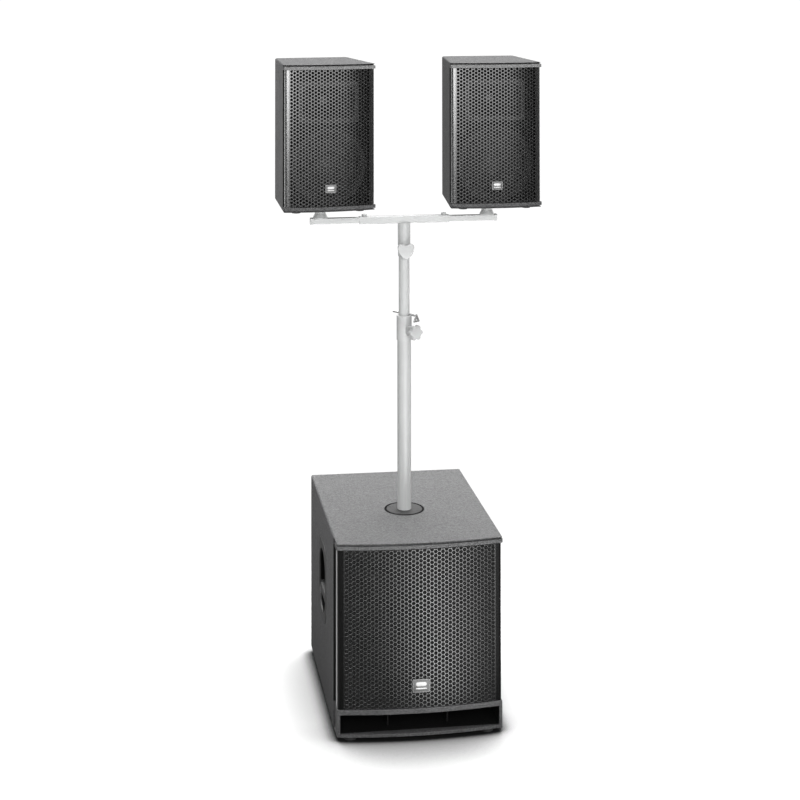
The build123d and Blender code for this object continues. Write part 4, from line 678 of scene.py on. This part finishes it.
def badge(name, w, h, r, place, body, node):
    """Blank badge: brushed plate with a raised rim, a sunk field and a plain bar across it. Faces -Y."""
    m = 0.001

    def loop(dw, y, rr):
        return [(p[0] * m, y * m, p[1] * m) for p in rounded_loop(w - 2 * dw, h - 2 * dw, max(0.3, rr))]

    t = 2.55 if w > 40 else 2.15
    rings = [loop(0, 0.0, r), loop(0, -t + 0.6, r), loop(0.25, -t + 0.15, r - 0.2), loop(0.8, -t, r - 0.6),
             loop(1.9, -t, r - 1.2), loop(2.4, -t + 0.45, r - 1.5), loop(2.6, -t + 0.7, r - 1.6)]
    plate = loft(name + "_plate", rings, BADGE_RIM, body, place)
    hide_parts(node)
    field = [loop(2.7, -t + 0.72, r - 1.7), loop(2.7, -t + 0.52, r - 1.7), loop(2.9, -t + 0.45, r - 1.8)]
    loft(name + "_field", field, BADGE_DARK, body, place)
    bar = []
    for y, d in ((-t + 0.5, 0), (-t + 0.12, 0.0), (-t + 0.02, 0.25)):
        bar.append([(p[0] * m, y * m, (p[1] - h * 0.2) * m) for p in rounded_loop(w * 0.62 - 2 * d, h * 0.10 - 2 * d * 0.6, h * 0.03)])
    loft(name + "_bar", bar, BADGE, body, place)
    dots = []
    for y, d in ((-t + 0.5, 0), (-t + 0.12, 0.0), (-t + 0.02, 0.25)):
        dots.append([(p[0] * m, y * m, (p[1] + h * 0.13) * m) for p in rounded_loop(w * 0.62 - 2 * d, h * 0.30 - 2 * d, h * 0.14)])
    loft(name + "_boss", dots, BADGE, body, place)


badge("sub_badge", 46, 34, 3, Matrix.Translation((0, (-SUB_D / 2 - SUB_BOW + 4 - 0.05) / 1000, (FOOT + 128) / 1000)),
      "subwoofer", "sub_badge")
for side in ("left", "right"):
    badge(f"{side}_badge", 30, 22, 2, SEAT[side] @ Matrix.Translation((0, (-SAT_D / 2 - SAT_BOW + 3 - 0.05) / 1000, 0.062)),
          f"{side}_satellite", f"{side}_badge")

# ------------------------------------------------------------------ flange ring of painted shade and panel marks
def box_faces(verts, faces, lo, hi):
    b = len(verts)
    for z in (lo[2], hi[2]):
        verts += [(lo[0], lo[1], z), (hi[0], lo[1], z), (hi[0], hi[1], z), (lo[0], hi[1], z)]
    faces += [(b, b + 3, b + 2, b + 1), (b + 4, b + 5, b + 6, b + 7)]
    for i in range(4):
        j = (i + 1) % 4
        faces.append((b + i, b + j, b + 4 + j, b + 4 + i))


def turned(name, profile, centre, axis, mat, body, n=72, closed=True):
    """Turns a closed (radius, height) profile round the given axis ("Z" or "Y") through centre."""
    verts, faces = [], []
    m = len(profile)
    for k in range(n):
        a = 2 * math.pi * k / n
        for r, h in profile:
            if axis == "Z":
                verts.append((centre[0] + r * math.cos(a), centre[1] + r * math.sin(a), centre[2] + h))
            else:
                verts.append((centre[0] + r * math.cos(a), centre[1] + h, centre[2] + r * math.sin(a)))
    for k in range(n):
        q = (k + 1) % n
        for i in range(m):
            j = (i + 1) % m
            faces.append((k * m + i, q * m + i, q * m + j, k * m + j))
    return make(name, verts, faces, mat, body)


M = 0.001
# painted shade: a low raised ring round the flange, coloured near black with almost no specular, stands in for the
# shaded groove round the disc
GROOVE_SHADE = rubber("flange_shade_rubber", 0.003, 0.8)
GROOVE_SHADE.node_tree.nodes["Principled BSDF"].inputs["Specular IOR Level"].default_value = 0.06
turned("flange_shade_ring", [(49.9 * M, 0.02 * M), (55.4 * M, 0.02 * M), (55.4 * M, 0.45 * M), (54.8 * M, 0.9 * M),
                              (50.4 * M, 0.9 * M), (49.9 * M, 0.5 * M)], (0, -0.040, 0.512), "Z", GROOVE_SHADE, "subwoofer")

PLATE_Y, PANEL_Z = 0.29345, 0.274
verts, faces = [], []


def mark(u0, v0, u1, v1, high=0.12):
    box_faces(verts, faces, (-u1 * M, PLATE_Y + 0.00001, PANEL_Z + v0 * M), (-u0 * M, PLATE_Y + high * M, PANEL_Z + v1 * M))


def outline(u0, v0, u1, v1, t=0.7):
    mark(u0, v0, u1, v0 + t)
    mark(u0, v1 - t, u1, v1)
    mark(u0, v0 + t, u0 + t, v1 - t)
    mark(u1 - t, v0 + t, u1, v1 - t)


outline(-128, 62, -24, 172)
outline(-128, 2, -24, 46)
outline(60, 14, 120, 156)
outline(54, -180, 118, -96)
make("panel_outlines", verts, faces, INK, "subwoofer")
verts, faces = [], []
for ku, kv in ((88, 128), (88, 84), (88, 40)):
    for i in range(11):
        a = math.radians(90 + 150 - 30 * i)
        long_mark = i in (0, 5, 10)
        r0, r1, t = 13.2, (17.2 if long_mark else 15.6), (0.5 if long_mark else 0.35)
        du, dv = math.cos(a), math.sin(a)
        base = len(verts)
        for y in (PLATE_Y + 0.00001, PLATE_Y + 0.00013):
            for r, w in ((r0, -t), (r1, -t), (r1, t), (r0, t)):
                verts.append((-(ku + du * r - dv * w) * M, y, PANEL_Z + (kv + dv * r + du * w) * M))
        faces += [(base, base + 1, base + 2, base + 3), (base + 7, base + 6, base + 5, base + 4)]
        for q in range(4):
            p = (q + 1) % 4
            faces.append((base + q, base + 4 + q, base + 4 + p, base + p))
make("knob_scale_marks", verts, faces, INK, "subwoofer")
BEZEL = moulded("lamp_bezel", 0.03, 0.3, gloss=0.3)
for label, v0, tint in (("power", 146, (0.05, 0.55, 0.12)), ("signal", 124, (0.10, 0.50, 0.08)), ("limit", 102, (0.65, 0.04, 0.02))):
    at = (-0.018, PLATE_Y, PANEL_Z + v0 * M)
    turned(f"{label}_lamp_bezel", [(2.3 * M, 0.00001), (4.0 * M, 0.00001), (4.0 * M, 0.7 * M), (3.5 * M, 1.1 * M),
                                   (2.6 * M, 1.1 * M), (2.3 * M, 0.8 * M)], at, "Y", BEZEL, "subwoofer", 40)
    lens = [(2.25 * M, 0.00001), (2.25 * M, 0.8 * M)] + [
        (2.25 * M * math.cos(math.radians(t)), (0.8 + 1.2 * math.sin(math.radians(t))) * M) for t in (20, 40, 60, 78)]
    rings = [[(at[0] + r * math.cos(2 * math.pi * k / 28), at[1] + h, at[2] + r * math.sin(2 * math.pi * k / 28)) for k in range(28)]
             for r, h in lens]
    loft(f"{label}_lamp", rings, glow(f"{label}_lamp_lens", tint, 0.15), "subwoofer", Matrix.Identity(4))

# ------------------------------------------------------------------ floor, light, camera
floor_mesh = bpy.data.meshes.new("floor")
floor_mesh.from_pydata([(-14, -12, 0), (14, -12, 0), (14, 16, 0), (-14, 16, 0)], [], [(0, 1, 2, 3)])
floor = bpy.data.objects.new("floor", floor_mesh)
scene.collection.objects.link(floor)
# seen by the camera: lit near the object, with painted shadow from ambient occlusion round the base and a painted
# shadow darker in front of it, plain white further out; seen by the object: dim, with a bright reflector board lying on
# the floor in front
s = Shader("floor_white")
fn = s.noise(60.0, 3.0, 0.5)
# painted shadow: ambient occlusion and a ramp darker towards the front darken the floor colour round the base
ao = s.n("ShaderNodeAmbientOcclusion", samples=8)
ao.inputs["Distance"].default_value = 0.22
spot = s.n("ShaderNodeSeparateXYZ")
s.link(s.coord.outputs["Object"], spot.inputs[0])
shade = s.ramp(s.remap(spot.outputs[1], 0.0, 1.0, -0.42, -0.18), [(0.0, 0.07), (1.0, 0.32)])
floor_ao_shadow = s.mix(s.remap(ao.outputs["AO"], 0.0, 1.0, 0.45, 0.95), shade, s.ramp(fn, [(0.3, 0.455), (0.7, 0.460)]))
near = s.n("ShaderNodeAmbientOcclusion", samples=8)
near.inputs["Distance"].default_value = 0.045
contact_shadow = s.remap(near.outputs["AO"], 0.0, 1.0, 0.50, 0.93)
s.set(color=s.mix(contact_shadow, (0.012, 0.012, 0.012, 1), floor_ao_shadow), rough=1.0, spec=0.0)
axes = s.n("ShaderNodeSeparateXYZ")
s.link(s.coord.outputs["Object"], axes.inputs[0])
fx, fy = axes.outputs[0], axes.outputs[1]
far = s.math("SQRT", s.math("ADD", s.math("POWER", fx, 2.0), s.math("POWER", fy, 2.0)))
plain = s.n("ShaderNodeEmission")
plain.inputs["Color"].default_value = (1, 1, 1, 1)
plain.inputs["Strength"].default_value = 1.05
seen = s.n("ShaderNodeMixShader")
s.link(s.remap(far, 0.0, 1.0, 0.75, 1.35), seen.inputs[0])
s.link(s.bsdf.outputs[0], seen.inputs[1])
s.link(plain.outputs[0], seen.inputs[2])
ahead = s.math("SUBTRACT", -0.31, fy)
middle = s.math("ADD", s.math("MULTIPLY", ahead, 0.225), 0.072)
width = s.math("ADD", s.math("MULTIPLY", ahead, 0.22), 0.065)
off = s.math("DIVIDE", s.math("SUBTRACT", fx, middle), width)
bell = s.math("EXPONENT", s.math("MULTIPLY", s.math("MULTIPLY", off, off), -1.0))
begin = s.remap(ahead, 0.0, 1.0, 0.10, 0.35)
end = s.remap(ahead, 1.0, 0.0, 2.2, 3.4)
side_x = s.math("SUBTRACT", -0.22, fx)
side_y = s.math("SUBTRACT", s.math("SUBTRACT", -0.29, fy), s.math("MULTIPLY", side_x, 0.42))
side_w = s.math("ADD", s.math("MULTIPLY", side_x, 0.13), 0.04)
side_off = s.math("DIVIDE", side_y, side_w)
side_bell = s.math("EXPONENT", s.math("MULTIPLY", s.math("MULTIPLY", side_off, side_off), -1.0))
side_board = s.math("MULTIPLY", side_bell, s.math("MULTIPLY", s.remap(side_x, 0.0, 1.0, 0.05, 0.2), s.remap(side_x, 1.0, 0.0, 1.3, 2.2)))
board = s.n("ShaderNodeEmission")
front_board = s.math("MULTIPLY", bell, s.math("MULTIPLY", begin, end))
s.link(s.math("ADD", s.math("MULTIPLY", front_board, 12.5), s.math("MULTIPLY", side_board, 1.6)), board.inputs["Strength"])
dim = s.n("ShaderNodeBsdfDiffuse")
dim.inputs["Color"].default_value = (0.05, 0.05, 0.05, 1)
both = s.n("ShaderNodeAddShader")
s.link(board.outputs[0], both.inputs[0])
s.link(dim.outputs[0], both.inputs[1])
path = s.n("ShaderNodeLightPath")
pick = s.n("ShaderNodeMixShader")
s.link(path.outputs["Is Camera Ray"], pick.inputs[0])
s.link(both.outputs[0], pick.inputs[1])
s.link(seen.outputs[0], pick.inputs[2])
s.link(pick.outputs[0], s.out.inputs[0])
floor_mesh.materials.append(s.mat)

world = bpy.data.worlds.new("studio")
scene.world = world
world.use_nodes = True
wt = world.node_tree
wt.nodes.clear()
wo = wt.nodes.new("ShaderNodeOutputWorld")
lp = wt.nodes.new("ShaderNodeLightPath")
white = wt.nodes.new("ShaderNodeBackground")
white.inputs[0].default_value = (1, 1, 1, 1)
white.inputs[1].default_value = 1.05
dimw = wt.nodes.new("ShaderNodeBackground")
geo = wt.nodes.new("ShaderNodeTexCoord")
sep = wt.nodes.new("ShaderNodeSeparateXYZ")
wt.links.new(geo.outputs["Generated"], sep.inputs[0])
ramp = wt.nodes.new("ShaderNodeValToRGB")
ramp.color_ramp.elements[0].position = 0.0
ramp.color_ramp.elements[0].color = (0.16, 0.16, 0.16, 1)
ramp.color_ramp.elements[1].position = 0.9
ramp.color_ramp.elements[1].color = (1.0, 1.0, 1.0, 1)
wt.links.new(sep.outputs[2], ramp.inputs[0])
wt.links.new(ramp.outputs[0], dimw.inputs[0])
dimw.inputs[1].default_value = 0.75
mixw = wt.nodes.new("ShaderNodeMixShader")
wt.links.new(lp.outputs["Is Camera Ray"], mixw.inputs[0])
wt.links.new(dimw.outputs[0], mixw.inputs[1])
wt.links.new(white.outputs[0], mixw.inputs[2])
wt.links.new(mixw.outputs[0], wo.inputs[0])


def area(name, loc, target, size, power, size_y=None, color=(1, 1, 1)):
    light = bpy.data.lights.new(name, "AREA")
    light.shape = "RECTANGLE"
    light.size = size
    light.size_y = size_y or size
    light.energy = power
    light.color = color
    o = bpy.data.objects.new(name, light)
    scene.collection.objects.link(o)
    o.location = loc
    o.rotation_euler = (Vector(target) - Vector(loc)).to_track_quat("-Z", "Y").to_euler()
    o.visible_camera = False
    return o


sun = bpy.data.lights.new("overhead", "SUN")
sun.energy = 8.5
sun.angle = math.radians(64)
sun_ob = bpy.data.objects.new("overhead", sun)
scene.collection.objects.link(sun_ob)
sun_ob.rotation_euler = (-Vector((0.12, 0.34, 1.0))).to_track_quat("-Z", "Y").to_euler()
area("front_box", (0.65, -4.2, 2.00), (0.15, -0.2, 1.2), 2.7, 125, size_y=2.0)
area("front_left_strip", (-1.15, -4.1, 1.95), (-0.1, -0.2, 1.5), 0.8, 62, size_y=1.4)
area("margin_strip", (-0.66, -4.1, 1.80), (-0.1, -0.2, 1.6), 0.26, 17, size_y=1.2)
area("left_strip", (-3.7, -0.7, 1.7), (0, -0.2, 1.0), 0.7, 36, size_y=2.6)
area("back_left_fill", (-3.3, 3.6, 1.5), (0, 0.2, 0.8), 1.8, 55, size_y=2.0)
area("back_right_fill", (3.6, 3.0, 1.5), (0, 0.2, 0.8), 1.8, 45, size_y=2.0)
area("right_fill", (4.2, -0.4, 1.6), (0, 0.0, 0.9), 1.2, 28, size_y=2.0)

HOME_X = -0.80762
cam_data = bpy.data.cameras.new("camera")
cam = bpy.data.objects.new("camera", cam_data)
scene.collection.objects.link(cam)
psi, phi, rho = -0.13374, -0.02237, 0.0
right = Vector((math.cos(psi), math.sin(psi), 0))
fwd = Vector((-math.sin(psi), math.cos(psi), 0))
up = Vector((0, 0, 1))
fwd2 = math.cos(phi) * fwd - math.sin(phi) * up
up2 = math.cos(phi) * up + math.sin(phi) * fwd
r3 = math.cos(rho) * right + math.sin(rho) * up2
u3 = math.cos(rho) * up2 - math.sin(rho) * right
cam.matrix_world = Matrix((
    (r3.x, u3.x, -fwd2.x, HOME_X), (r3.y, u3.y, -fwd2.y, -4.89729), (r3.z, u3.z, -fwd2.z, 2.13703), (0, 0, 0, 1)))
cam_data.sensor_width = 36.0
cam_data.lens = 79.25


def home_shift(path, value):
    """The lens shift belongs to the main camera position only: three stepped keys over the camera's x give the
    value within 20 mm of it and zero elsewhere."""
    setattr(cam_data, path, value)
    curve = cam_data.driver_add(path)
    curve.driver.type = "AVERAGE"
    v = curve.driver.variables.new()
    v.type = "TRANSFORMS"
    v.targets[0].id = cam
    v.targets[0].transform_type = "LOC_X"
    v.targets[0].transform_space = "WORLD_SPACE"
    for m in list(curve.modifiers):
        curve.modifiers.remove(m)
    while len(curve.keyframe_points):
        curve.keyframe_points.remove(curve.keyframe_points[0])
    for x, y in ((-50.0, 0.0), (HOME_X - 0.02, value), (HOME_X + 0.02, 0.0)):
        curve.keyframe_points.insert(x, y).interpolation = "CONSTANT"
    curve.extrapolation = "CONSTANT"


home_shift("shift_x", 0.06351)
home_shift("shift_y", -0.6461)
cam_data.clip_end = 60.0
scene.camera = cam
bpy.context.scene.camera = cam
scene.view_settings.view_transform = "Standard"
scene.view_settings.look = "None"
